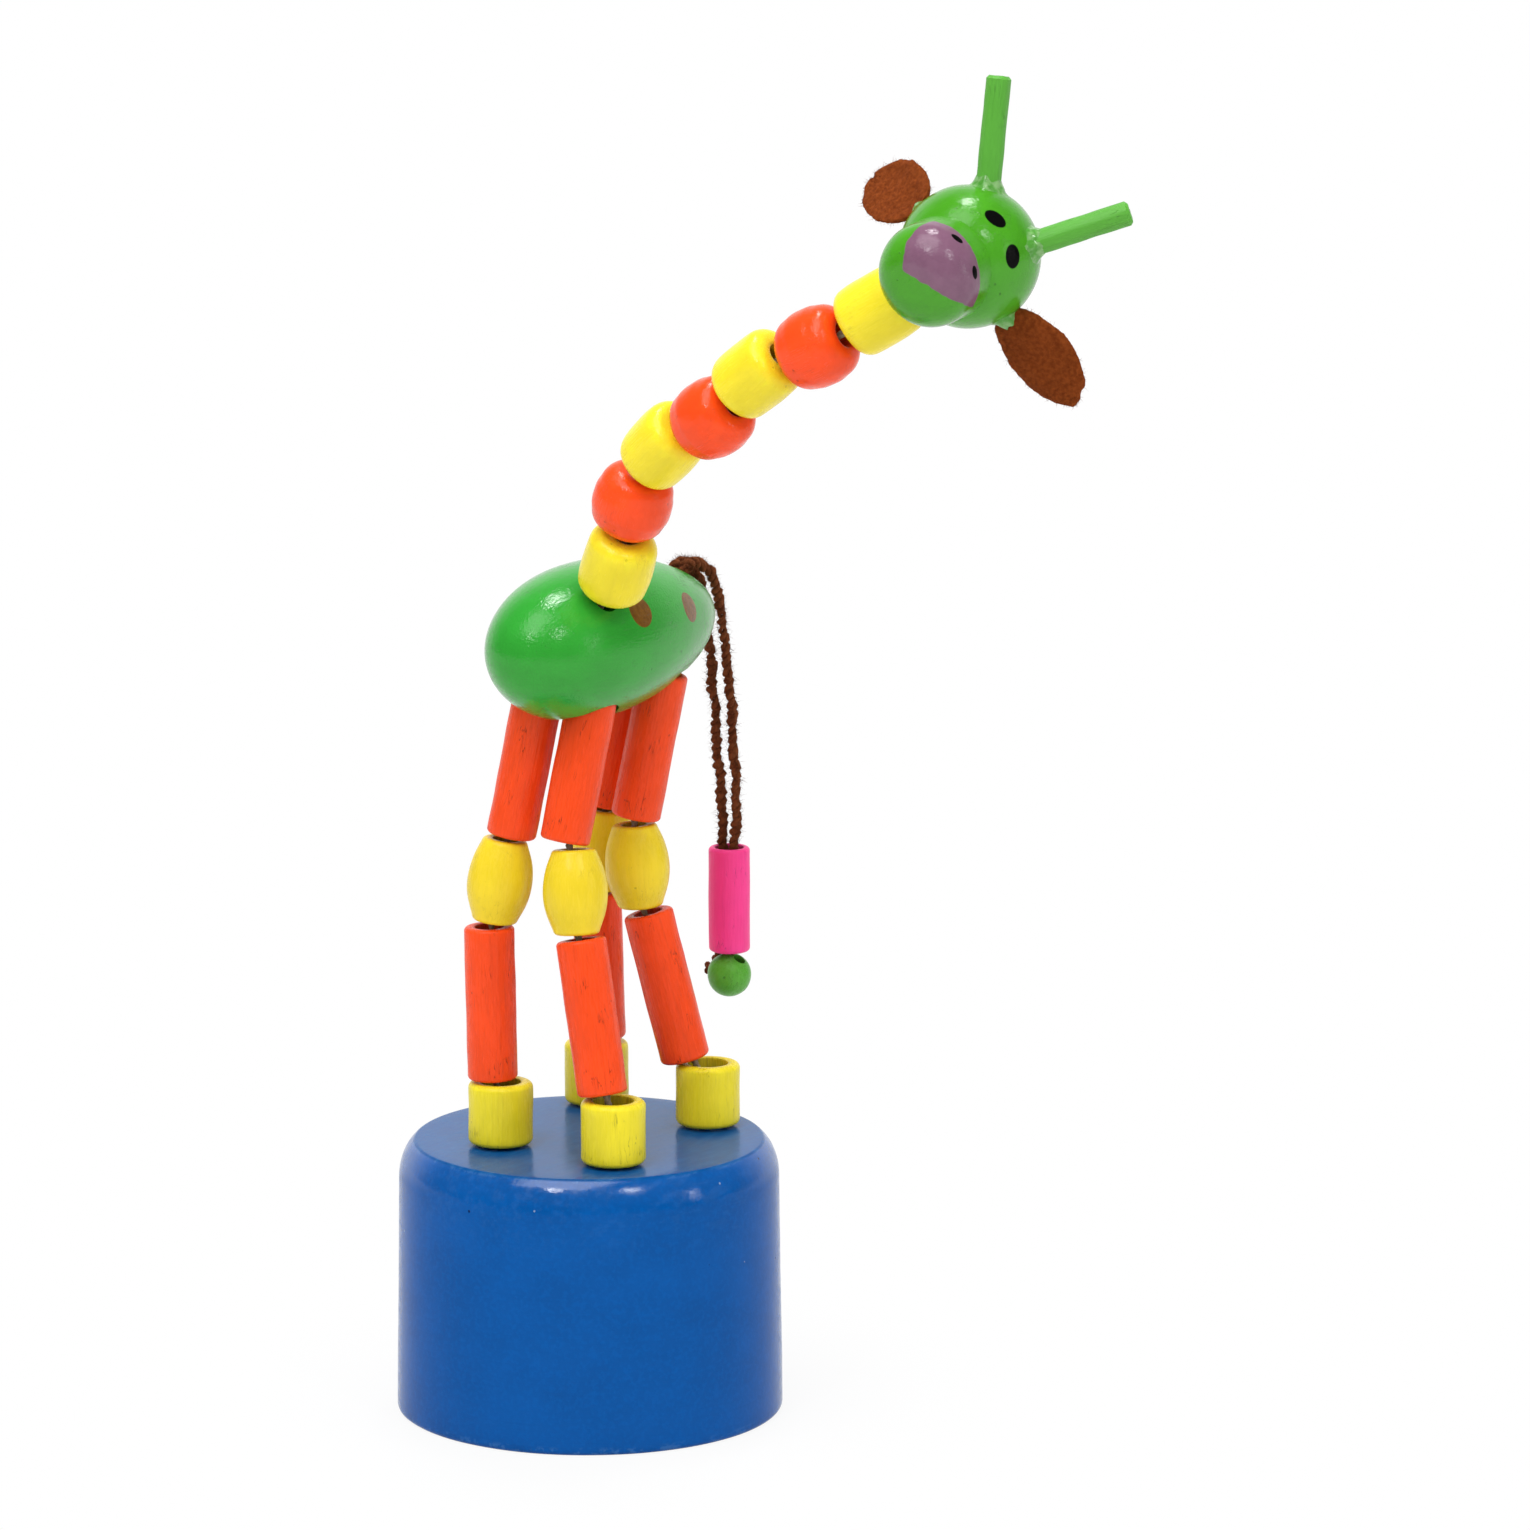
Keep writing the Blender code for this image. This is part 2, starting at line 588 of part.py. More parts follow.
def leaf_mesh(name):
    """Felt ear: an oval leaf on a narrow root, cupped across its width, growing along +Z."""
    bm = bmesh.new()
    grid = []
    for row in range(EAR_ROWS + 1):
        along = row / EAR_ROWS
        oval = (2 - EAR_ROOT_CUT) * along - (1 - EAR_ROOT_CUT)
        width = max(EAR_WIDTH * math.sqrt(max(1 - oval ** 2, 0.0)), EAR_TIP_WIDTH)
        line = []
        for column in range(EAR_COLUMNS + 1):
            across = 2 * column / EAR_COLUMNS - 1
            cup = across ** 2 * (EAR_ROOT_CUP + (EAR_CUP - EAR_ROOT_CUP) * math.sin(math.pi * along))
            line.append(bm.verts.new((width / 2 * across, cup, EAR_LENGTH * along)))
        grid.append(line)
    root = []
    for column in range(EAR_COLUMNS + 1):
        across = 2 * column / EAR_COLUMNS - 1
        root.append(bm.verts.new((EAR_ROOT_WIDTH / 2 * across, 0.0, -EAR_ROOT_LENGTH)))
    grid.insert(0, root)
    for lower, upper in zip(grid, grid[1:]):
        for column in range(EAR_COLUMNS):
            bm.faces.new((lower[column], lower[column + 1], upper[column + 1], upper[column]))
    return finish_mesh(name, bm)


def planted(centre, limb, depth):
    """Frame of a horn's or ear's foot, sunk into the head below the ball's surface."""
    seat = Vector(limb["seat"]).normalized() * HEAD_RADIUS
    return (centre @ Matrix.Translation(seat) @ rotation_to(Vector(limb["points"]).normalized())
            @ Matrix.Translation((0, 0, -depth)))


def head_parts(neck):
    """Ball head with a rounded snout, two dowel horns and two felt ears."""
    top = neck["top"]
    carrier = hinge_empty("head_turn", top.middle, neck["carrier"])
    seat = Matrix.Translation(top.middle) @ rotation_to(top.axis) @ Matrix.Rotation(HEAD_TURN, 4, "Z")
    reach = HEAD_RADIUS + top.edge + GAP
    centre = seat @ Matrix.Translation((0, 0, math.sqrt(reach ** 2 - top.flat ** 2) - top.edge))
    ball = ball_profile(HEAD_RADIUS, BODY_RINGS)
    head = add_object("head", turned_mesh("head", ball, BODY_SIDES), "light_green_paint")
    place(head, centre, carrier)
    snout = [(0, SNOUT_REACH)]
    snout += reversed(arc(SNOUT_RADIUS - SNOUT_ROUND, SNOUT_REACH - SNOUT_ROUND, SNOUT_ROUND, 0, 90, 5))
    snout += [(SNOUT_RADIUS, 0), (0, 0)]
    forward = centre @ Matrix.Rotation(math.pi / 2 + SNOUT_DROP, 4, "X")
    cut(head, cutter("snout", turned_mesh("snout", snout, BODY_SIDES), forward), "UNION")
    drill = rod_mesh("head_bore", HEAD_BORE_RADIUS, -HEAD_RADIUS * 2, HEAD_BORE_DEPTH - HEAD_RADIUS)
    cut(head, cutter("head_bore", drill, centre))
    for name, horn in HORNS.items():
        root = planted(centre, horn, horn["depth"])
        drill = rod_mesh("horn_socket", HORN_RADIUS + GAP, -GAP, HORN_LENGTH)
        cut(head, cutter("horn_socket_" + name, drill, root))
        dowel = [(0, HORN_LENGTH), (HORN_RADIUS - HORN_EDGE, HORN_LENGTH),
                 (HORN_RADIUS, HORN_LENGTH - HORN_EDGE), (HORN_RADIUS, 0), (0, 0)]
        mesh = turned_mesh("horn", dowel, SMALL_SIDES)
        place(add_object("horn_" + name, mesh, "light_green_paint"), root, carrier)
    for name, leaf in EARS.items():
        root = planted(centre, leaf, EAR_ROOT_LENGTH)
        drill = rod_mesh("ear_socket", EAR_SOCKET_RADIUS, -GAP * 2, EAR_LENGTH)
        cut(head, cutter("ear_socket_" + name, drill, root))
        ear = add_object("ear_" + name, leaf_mesh("ear"), "brown_felt")
        thick = ear.modifiers.new("felt", "SOLIDIFY")
        thick.thickness = EAR_THICKNESS
        thick.offset = 0
        twist = Matrix.Rotation(leaf["twist"], 4, "Z")
        place(ear, root @ twist @ Matrix.Translation((0, 0, EAR_ROOT_LENGTH)), carrier)


def neck_cord(body, neck):
    """Cord from the body's neck hole through every neck bead into the head."""
    seat = body["seat"]
    route = [seat.middle - seat.axis * (NECK_HOLE_DEPTH - 2 * GAP), seat.middle]
    bores = neck["bores"]
    for (low, high), (upper_low, _) in zip(bores, bores[1:]):
        route += [(low + high) / 2, (high + upper_low) / 2]
    route.append((bores[-1][0] + bores[-1][1]) / 2)
    top = neck["top"]
    route += [top.middle, top.middle + top.axis * (HEAD_BORE_DEPTH - 2 * GAP)]
    tube("neck_cord", smooth_route(route, 2), CORD_RADIUS, "white_cord", None)


def tail_parts(body):
    """Doubled yarn from the rump, threaded through a long bead and a ball, with a knot."""
    rump = body["rump"]
    bend = rump + Vector((0, *TAIL_ROUTE[TAIL_BEND]))
    carrier = hinge_empty("tail_swing", bend, body["carrier"])
    last = len(TAIL_ROUTE) - 1
    for side, name in ((1, "left"), (-1, "right")):
        points = []
        for index, (back, height) in enumerate(TAIL_ROUTE):
            share = index / last
            apart = YARN_APART + (YARN_SPREAD - YARN_APART) * math.sin(math.pi * share)
            points.append(rump + Vector((side * apart / 2, back, height)))
        tube("tail_yarn_" + name, smooth_route(points, 2), YARN_RADIUS, "brown_yarn", carrier)
    back, height = TAIL_ROUTE[-1]
    end = rump + Vector((0, back, height))
    bead_top = end + UP * YARN_TUCK
    profile = bead_profile(TAIL_BEAD_LENGTH, TAIL_BEAD_RADIUS, TAIL_BEAD_RADIUS, TAIL_BEAD_ROUND,
                           TAIL_BORE_RADIUS)
    bead = add_object("tail_bead", turned_mesh("tail_bead", profile, BEAD_SIDES), "pink_paint")
    place(bead, Matrix.Translation(bead_top - UP * TAIL_BEAD_LENGTH), carrier)
    around = arc(0, 0, TAIL_BALL_RADIUS, 90, -90, 10)
    limit = math.sqrt(TAIL_BALL_RADIUS ** 2 - TAIL_BALL_BORE_RADIUS ** 2)
    ring = [point for point in around if abs(point[1]) < limit]
    ring = [(TAIL_BALL_BORE_RADIUS, limit), *ring, (TAIL_BALL_BORE_RADIUS, -limit)]
    ball = add_object("tail_ball", turned_mesh("tail_ball", ring, BEAD_SIDES), "light_green_paint")
    middle = bead_top - UP * (TAIL_BEAD_LENGTH + TAIL_BALL_RADIUS + GAP)
    place(ball, Matrix.Translation(middle) @ Matrix.Rotation(TAIL_BALL_TILT, 4, "Y"), carrier)
    knot_mesh = turned_mesh("tail_knot", ball_profile(TAIL_KNOT_RADIUS, SMALL_RINGS), SMALL_SIDES)
    knot = add_object("tail_knot", knot_mesh, "brown_yarn")
    behind = Vector((math.cos(TAIL_KNOT_HEADING), math.sin(TAIL_KNOT_HEADING), 0))
    place(knot, Matrix.Translation(middle + behind * (TAIL_BALL_RADIUS + TAIL_KNOT_RADIUS + GAP)), carrier)


for old in list(bpy.data.objects):
    bpy.data.objects.remove(old, do_unlink=True)

MATERIALS = make_materials()
ORIGINS = {}

base_parts()
button_parts()
all_legs = {leg_name: leg_beads(leg_name, leg) for leg_name, leg in LEGS.items()}
body_frame = body_parts(all_legs)
for leg_name, leg in all_legs.items():
    leg_cord(leg_name, leg)
neck_frame = neck_beads(body_frame)
neck_cord(body_frame, neck_frame)
head_parts(neck_frame)
tail_parts(body_frame)
bpy.context.view_layer.update()
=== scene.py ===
"""Looks of the thumb push puppet: painted wooden beads, felt ears and a yarn tail round the CAD frame.

Every bead is turned again at a finer step where its CAD node stands. Metres, +Z up, the giraffe
faces -Y, as in the CAD.
"""
import random
from collections import namedtuple
from math import acos, copysign, cos, degrees, pi, radians, sin, sqrt, tan

import bmesh
import bpy
from mathutils import Matrix, Vector, noise


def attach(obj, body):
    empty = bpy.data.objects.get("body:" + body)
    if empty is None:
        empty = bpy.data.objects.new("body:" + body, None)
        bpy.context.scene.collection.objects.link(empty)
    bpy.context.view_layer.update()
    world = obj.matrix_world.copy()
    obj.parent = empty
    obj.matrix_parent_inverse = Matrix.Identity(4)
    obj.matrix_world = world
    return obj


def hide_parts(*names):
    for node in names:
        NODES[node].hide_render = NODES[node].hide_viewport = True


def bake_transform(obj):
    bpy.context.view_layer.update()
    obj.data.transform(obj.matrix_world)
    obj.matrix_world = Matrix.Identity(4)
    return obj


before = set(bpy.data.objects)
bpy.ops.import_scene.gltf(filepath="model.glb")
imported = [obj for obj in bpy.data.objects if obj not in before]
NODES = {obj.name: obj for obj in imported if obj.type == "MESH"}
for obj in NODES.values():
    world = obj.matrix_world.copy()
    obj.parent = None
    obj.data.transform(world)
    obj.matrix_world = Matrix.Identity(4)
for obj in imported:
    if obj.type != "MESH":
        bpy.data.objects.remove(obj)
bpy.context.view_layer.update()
UP = Vector((0, 0, 1))

# Camera, fitted to the photograph
CAMERA_PLACE = Vector((0.5366, -0.8201, 0.2760))
CAMERA_TARGET = Vector((0.01733, 0.01083, 0.07617))
CAMERA_LENS = 204.27
CAMERA_HEADING = 32

# Sizes and directions repeated from the CAD
GAP = 0.0003
CORD_RADIUS = 0.0005
BASE_RADIUS = 0.0225
BASE_HEIGHT = 0.0321
BASE_TAPER = 0.0004
BASE_SHOULDER_DROP = 0.0046
BASE_SHOULDER_INSET = 0.0018
BASE_FOOT_ROUND = 0.0006
BASE_WALL = 0.0040
BASE_ROOF = 0.0068
BASE_CORD_HOLE_RADIUS = 0.0014
BUTTON_RECESS = 0.0006
BUTTON_THICKNESS = 0.0062
BUTTON_CLEARANCE = 0.0004
BUTTON_EDGE_ROUND = 0.0006
BUTTON_CORD_SHARE = 0.80
BUTTON_HOLE_RADIUS = 0.0011
BUTTON_POCKET_RADIUS = 0.0022
BUTTON_POCKET_DEPTH = 0.0034
KNOT_RADIUS = 0.0015
SPRING_COIL_RADIUS = 0.0062
SPRING_WIRE_RADIUS = 0.0005
SPRING_TURNS = 6
# A bead's length, its radii at belly and ends, the rounding of its edges and its bore's radius
Bead = namedtuple("Bead", "length belly end edge bore")
FOOT = Bead(0.0073, 0.00375, 0.00375, 0.0007, 0.0023)
LOWER_LEG = Bead(0.0180, 0.0029, 0.0029, 0.0005, 0.0016)
UPPER_LEG = Bead(0.0174, 0.0029, 0.0029, 0.0005, 0.0016)
KNEE = Bead(0.0098, 0.00375, 0.0027, 0.0006, 0.0014)
YELLOW = Bead(0.0082, 0.0041, 0.0040, 0.0016, 0.0014)
ORANGE = Bead(0.0077, 0.0045, 0.0042, 0.0021, 0.0014)
PINK = Bead(0.0126, 0.00245, 0.00245, 0.0005, 0.00165)
FOLD_HEADING = radians(212)
LEGS = {
    "front_left": {"foot": (0.0096, -0.0096), "leans": (8, 2, -11), "across": 8.0},
    "front_right": {"foot": (-0.0065, -0.0087), "leans": (1, -8, -11), "across": 0.0},
    "rear_left": {"foot": (0.0088, 0.0119), "leans": (14, 4, -11), "across": 0.5},
    "rear_right": {"foot": (-0.0082, 0.0142), "leans": (1.5, -4, -11), "across": -6.0},
}
BODY_LEG = "front_left"
HIP_BORE_RADIUS = 0.0014
HIP_BORE_DEPTH = 0.0050
HIP_SEAT_ROOM = 0.0014
HIP_SEAT_GAP = 0.0009
BODY_X = 0.0013
BODY_Y = 0.0022
BODY_HALF_LENGTH = 0.0201
BODY_RADIUS = 0.0089
BODY_TAPER = 0.20
BODY_RINGS = 14
NECK_SEAT_ROLL = radians(44.6)
NECK_SEAT_FORWARD = 0.0096
NECK_HOLE_RADIUS = 0.0016
NECK_HOLE_DEPTH = 0.0045
TAIL_HOLE_BACK = 0.0148
TAIL_HOLE_RADIUS = 0.0022
TAIL_HOLE_DEPTH = 0.0035
NECK_LEANS = (30.5, 28, 50, 60.5, 53.5, 64, 58)
NECK_HEADINGS = (-27.5, -22, -16, -10, -5.5, 2.5, 15.5)
HEAD_RADIUS = 0.0079
HEAD_TURN = radians(13)
SNOUT_RADIUS = 0.0058
SNOUT_REACH = 0.0128
SNOUT_ROUND = 0.0042
SNOUT_DROP = radians(15)
HEAD_BORE_DEPTH = 0.0060
HORN_RADIUS = 0.0014
HORN_LENGTH = 0.0150
HORN_EDGE = 0.0003
HORNS = {
    "left": {"seat": (0.32, -0.05, 0.95), "points": (0.21, 0.24, 0.95), "depth": 0.0042},
    "right": {"seat": (-0.70, 0.11, 0.70), "points": (-0.81, 0.09, 0.58), "depth": 0.0029},
}
EAR_LENGTH = 0.0126
EAR_WIDTH = 0.0076
EAR_THICKNESS = 0.0010
EAR_TIP_WIDTH = 0.0010
EAR_CUP = 0.0008
EAR_ROOT_CUP = 0.0003
EAR_ROOT_CUT = 0.07
EARS = {
    "left": {"seat": (1.00, 0.03, 0.02), "points": (0.97, 0.25, 0.08), "twist": radians(30)},
    "right": {"seat": (-0.93, 0.18, -0.32), "points": (-0.49, 0.74, -0.46), "twist": radians(117)},
}
YARN_RADIUS = 0.0006
YARN_APART = 0.0015
YARN_SPREAD = 0.0023
TAIL_ROUTE = ((0.0, -0.0006), (0.0010, 0.0005), (0.0032, 0.0005), (0.0060, -0.0016),
              (0.0080, -0.0056), (0.0092, -0.0107), (0.0099, -0.0167), (0.0106, -0.0235),
              (0.0112, -0.0308), (0.0115, -0.0369))
TAIL_BALL_RADIUS = 0.0026
TAIL_BALL_BORE_RADIUS = 0.0008
TAIL_BALL_TILT = radians(35)
TAIL_KNOT_RADIUS = 0.0012

# How finely pieces are turned, and the angle from which an edge stays sharp
DRUM_SIDES = 128
FINE_SIDES = 96
BEAD_SIDES = 48
SHARP = radians(38)
SOFT = radians(75)

FOLD_SIDE = Vector((cos(FOLD_HEADING), sin(FOLD_HEADING), 0))
ACROSS = Vector((FOLD_SIDE.y, -FOLD_SIDE.x, 0))
SNOUT_TURN = Matrix.Rotation(pi / 2 + SNOUT_DROP, 4, "X")


# Materials

class Nodes:
    """A node tree under construction."""

    def __init__(self, owner):
        owner.use_nodes = True
        self.nodes = owner.node_tree.nodes
        self.links = owner.node_tree.links

    def feed(self, socket, value):
        """Sets a socket to a number, a colour or a vector, or links it to another socket."""
        if isinstance(value, bpy.types.NodeSocket):
            self.links.new(value, socket)
        elif socket.type == "RGBA":
            socket.default_value = (*value, 1.0)
        else:
            socket.default_value = value

    def add(self, kind, result, inputs, **settings):
        """A new node's output socket; its inputs are fed by identifier or by number."""
        node = self.nodes.new("ShaderNode" + kind)
        for name, setting in settings.items():
            setattr(node, name, setting)
        sockets = dict(enumerate(node.inputs))
        sockets.update((socket.identifier, socket) for socket in node.inputs)
        for name, value in inputs.items():
            self.feed(sockets[name], value)
        return next((socket for socket in node.outputs if socket.identifier == result), None)

    def math(self, operation, *values):
        return self.add("Math", "Value", dict(enumerate(values)), operation=operation)

    def times(self, *values):
        return self.math("MULTIPLY", *values)

    def ramp(self, value, low, high, to_low=0.0, to_high=1.0):
        inputs = {"Value": value, "From Min": low, "From Max": high, "To Min": to_low, "To Max": to_high}
        return self.add("MapRange", "Result", inputs, interpolation_type="SMOOTHSTEP")

    def dot(self, first, second):
        return self.add("VectorMath", "Value", {0: first, 1: second}, operation="DOT_PRODUCT")

    def seen(self):
        """1 for what the camera sees straight, mirrored or through glue, 0 for light on the object."""
        path = self.nodes.new("ShaderNodeLightPath").outputs
        mirrored = self.math("MAXIMUM", path["Is Glossy Ray"], path["Is Transmission Ray"])
        return self.math("MAXIMUM", path["Is Camera Ray"], mirrored)


class Paint(Nodes):
    """A piece's material; lengths are in metres in the piece's own frame."""

    def __init__(self, name, roughness, specular):
        self.material = bpy.data.materials.new(name)
        super().__init__(self.material)
        self.shader = self.nodes["Principled BSDF"].inputs
        self.place = self.add("TexCoord", "Object", {})
        self.coat = None
        self.set("Roughness", roughness)
        self.set("Specular IOR Level", specular)

    def set(self, name, value):
        self.feed(self.shader[name], value)

    def clouds(self, scale, detail=3.0, rough=0.55):
        """Noise from 0 to 1; scale is how many features there are in a metre along X, Y and Z."""
        stretched = self.add("Mapping", "Vector", {"Vector": self.place, "Scale": scale})
        inputs = {"Vector": stretched, "Scale": 1.0, "Detail": detail, "Roughness": rough}
        return self.add("TexNoise", "Fac", inputs)

    def dots(self, scale):
        """Distance to the nearest of scattered points, in cells of 1 / scale metres."""
        return self.add("TexVoronoi", "Distance", {"Vector": self.place, "Scale": scale})

    def attribute(self, name):
        return self.add("Attribute", "Fac", {}, attribute_name=name)

    def along(self, direction, origin=(0, 0, 0)):
        """How far a point of the piece lies along a direction from an origin."""
        shifted = self.add("VectorMath", "Vector", {0: self.place, 1: origin}, operation="SUBTRACT")
        return self.dot(shifted, direction)

    def oval(self, middle, out, along, half_along, half_across, blur):
        """1 inside an oval painted about a point of the surface, 0 outside it; out is the normal there."""
        out = Vector(out).normalized()
        along = Vector(along) - out * out.dot(Vector(along))
        along.normalize()
        squares = []
        for direction, half in ((along, half_along), (out.cross(along), half_across)):
            share = self.along(direction / half, middle)
            squares.append(self.times(share, share))
        inside = self.ramp(self.math("ADD", *squares), 1 - blur, 1 + blur, 1.0, 0.0)
        facing = self.ramp(self.along(out, middle), -half_along, -half_along * 0.9)
        return self.times(inside, facing)

    def mix(self, factor, first, second):
        inputs = {"Factor_Float": factor, "A_Color": first, "B_Color": second}
        return self.add("Mix", "Result_Color", inputs, data_type="RGBA")

    def between(self, value, low, high, first, second):
        """One colour where a value is low, another where it is high."""
        return self.mix(self.ramp(value, low, high), first, second)

    def lay(self, amount, colour):
        """Lays a colour over the coat; amount is a mask from 0 to 1."""
        self.coat = self.mix(amount, self.coat, colour)

    def bump(self, height, distance, strength):
        """Lays one more height over the bumps already there."""
        inputs = {"Height": height, "Distance": distance, "Strength": strength}
        below = self.shader["Normal"].links
        if below:
            inputs["Normal"] = below[0].from_socket
        self.set("Normal", self.add("Bump", "Normal", inputs))

    def finish(self):
        self.set("Base Color", self.coat)
        return self.material


def shade(colour, factor):
    return tuple(min(1.0, channel * factor) for channel in colour)


WOOD = (0.52, 0.34, 0.17)
INK = (0.003, 0.003, 0.003)


def painted(name, colour, grain=1.0, peel=0.4, roughness=0.27, specular=0.25, stamps=None):
    """Enamel over turned wood: grain along the piece shows through, with cracks, pits and rubbed rims, and
    painted shade inside the bore.
    """
    paint = Paint(name, roughness, specular)
    streaks = paint.clouds((2500, 2500, 200), 4.0, 0.62)
    fibres = paint.clouds((5200, 5200, 520), 3.0, 0.6)
    patches = paint.clouds((190, 190, 120))
    pebbles = paint.clouds((3300, 3300, 3300), 1.0)
    runs = paint.clouds((620, 620, 150), 2.0)
    split = paint.math("ABSOLUTE", paint.math("SUBTRACT", paint.clouds((1500, 1500, 210), 2.0), 0.5))
    cracks = paint.times(paint.ramp(split, 0.004, 0.016, 1.0, 0.0),
                         paint.ramp(paint.clouds((330, 330, 260), 2.0), 0.55, 0.66))
    pits = paint.times(paint.ramp(paint.dots(620), 0.07, 0.12, 1.0, 0.0),
                       paint.ramp(paint.clouds((240, 240, 240), 1.0), 0.58, 0.64))
    rubbed = paint.times(paint.attribute("rim"), paint.ramp(runs, 0.48, 0.66))
    paint.coat = paint.between(patches, 0.3, 0.72, shade(colour, 0.90), shade(colour, 1.04))
    for amount, factor in ((paint.ramp(streaks, 0.48, 0.76, 0.0, 0.34 * grain), 0.62),
                           (paint.ramp(fibres, 0.50, 0.74, 0.0, 0.30 * grain), 1.14),
                           (paint.times(cracks, 0.55 * grain), 0.22),
                           (paint.times(pits, 0.40), 0.25),
                           (paint.times(rubbed, 0.22), 1.3)):
        paint.lay(amount, shade(colour, factor))
    if stamps:
        stamps(paint)
    # painted shade: inside the bore the paint's colour is laid darker, as the shade that falls in the hole
    bored = paint.between(streaks, 0.3, 0.7, shade(colour, 0.85), shade(colour, 0.50))
    paint.lay(paint.attribute("bored"), bored)
    dull = paint.math("ADD", paint.times(patches, 0.5), paint.times(fibres, 0.5))
    paint.set("Roughness", paint.ramp(dull, 0.35, 0.65, roughness - 0.06, roughness + 0.10))
    paint.bump(streaks, 0.00014 * grain, 0.6)
    paint.bump(fibres, 0.00004 * grain, 0.6)
    paint.bump(runs, 0.00012, 0.35)
    paint.bump(pebbles, 0.00005 * peel, 0.6)
    hollows = paint.math("ADD", paint.times(cracks, -grain), paint.times(pits, -1.0))
    paint.bump(hollows, 0.00007, 0.7)
    return paint.finish()


def drum_paint(name, colour):
    """Blue enamel on the drum: pebbled, with faint turning lines, dust specks and small nicks."""
    paint = Paint(name, 0.16, 0.24)
    rings = paint.clouds((60, 60, 3600))
    scuffs = paint.clouds((900, 260, 900), 4.0, 0.65)
    patches = paint.clouds((130, 130, 160))
    pebbles = paint.clouds((1700, 1700, 1700), 2.0)
    rare = paint.clouds((310, 310, 310), 1.0)
    specks = paint.ramp(paint.dots(360), 0.05, 0.07, 1.0, 0.0)
    dark = paint.times(specks, paint.ramp(rare, 0.61, 0.64))
    light = paint.times(specks, paint.ramp(rare, 0.37, 0.34))
    rubbed = paint.times(paint.attribute("rim"), paint.ramp(scuffs, 0.50, 0.62))
    paint.coat = paint.between(patches, 0.3, 0.7, shade(colour, 0.92), shade(colour, 1.06))
    paint.lay(paint.ramp(pebbles, 0.42, 0.70, 0.0, 0.45), shade(colour, 1.25))
    paint.lay(paint.ramp(rings, 0.50, 0.75, 0.0, 0.18), shade(colour, 0.78))
    paint.lay(paint.ramp(scuffs, 0.55, 0.75, 0.0, 0.14), shade(colour, 1.35))
    paint.lay(paint.times(dark, 0.85), shade(colour, 0.12))
    paint.lay(paint.times(light, 0.50), (0.34, 0.46, 0.60))
    paint.lay(paint.times(rubbed, 0.30), (0.08, 0.22, 0.46))
    paint.lay(paint.attribute("bored"), shade(WOOD, 0.8))
    # painted shade: the top is laid a duller, darker blue, to hold back the light that falls on it from
    # above
    height = paint.along(UP)
    top = paint.ramp(height, BASE_HEIGHT - 0.0003, BASE_HEIGHT - 0.0001)
    top_shade = paint.between(scuffs, 0.35, 0.7, (0.002, 0.068, 0.240), (0.010, 0.098, 0.285))
    paint.lay(paint.times(top, 0.80), top_shade)
    # thumbs have polished the rounded shoulder
    shoulder = paint.ramp(height, BASE_HEIGHT - 0.0040, BASE_HEIGHT - 0.0012, 0.10, 0.62)
    paint.set("Specular IOR Level", paint.times(shoulder, paint.ramp(top, 0, 1, 1.0, 0.18)))
    paint.set("Roughness", paint.ramp(scuffs, 0.35, 0.70, 0.12, 0.24))
    paint.bump(pebbles, 0.00004, 0.50)
    paint.bump(rings, 0.00002, 0.20)
    paint.bump(scuffs, 0.00002, 0.30)
    paint.bump(paint.math("SUBTRACT", light, dark), 0.00007, 0.6)
    return paint.finish()


def bare_wood(name):
    paint = Paint(name, 0.62, 0.25)
    bands = paint.clouds((900, 90, 900), 4.0)
    fibres = paint.clouds((5200, 260, 5200))
    patches = paint.clouds((140, 60, 140), 2.0)
    paint.coat = paint.between(bands, 0.35, 0.68, (0.58, 0.39, 0.21), (0.42, 0.25, 0.11))
    paint.lay(paint.ramp(fibres, 0.5, 0.8, 0.0, 0.4), (0.27, 0.14, 0.06))
    paint.lay(paint.ramp(patches, 0.4, 0.7, 0.0, 0.35), (0.70, 0.50, 0.29))
    paint.bump(fibres, 0.00009, 0.5)
    paint.bump(bands, 0.00010, 0.4)
    return paint.finish()


def wire_steel(name):
    paint = Paint(name, 0.30, 0.5)
    paint.set("Metallic", 1.0)
    drawn = paint.clouds((900, 900, 900))
    paint.coat = paint.between(drawn, 0.3, 0.7, (0.46, 0.45, 0.43), (0.66, 0.66, 0.65))
    paint.set("Roughness", paint.ramp(drawn, 0.3, 0.7, 0.22, 0.42))
    paint.bump(drawn, 0.00002, 0.3)
    return paint.finish()


def spun(name, dark, light, sheen, fineness=1.0):
    """Fibres of yarn, felt or cord: rough, mottled and a little furry at grazing angles."""
    paint = Paint(name, 0.95, 0.10)
    paint.set("Sheen Weight", sheen)
    paint.set("Sheen Roughness", 0.6)
    paint.set("Sheen Tint", shade(light, 1.6))
    hairs = paint.clouds((4200 * fineness,) * 3, 5.0, 0.7)
    tufts = paint.clouds((1300 * fineness,) * 3)
    patches = paint.clouds((260, 260, 260), 2.0)
    paint.coat = paint.between(tufts, 0.3, 0.7, dark, light)
    paint.lay(paint.ramp(hairs, 0.5, 0.75, 0.0, 0.5), shade(light, 1.35))
    paint.lay(paint.ramp(patches, 0.45, 0.75, 0.0, 0.4), shade(dark, 0.8))
    paint.bump(tufts, 0.00025 / fineness ** 2, 0.7)
    paint.bump(hairs, 0.00012 / fineness, 0.8)
    return paint.finish()


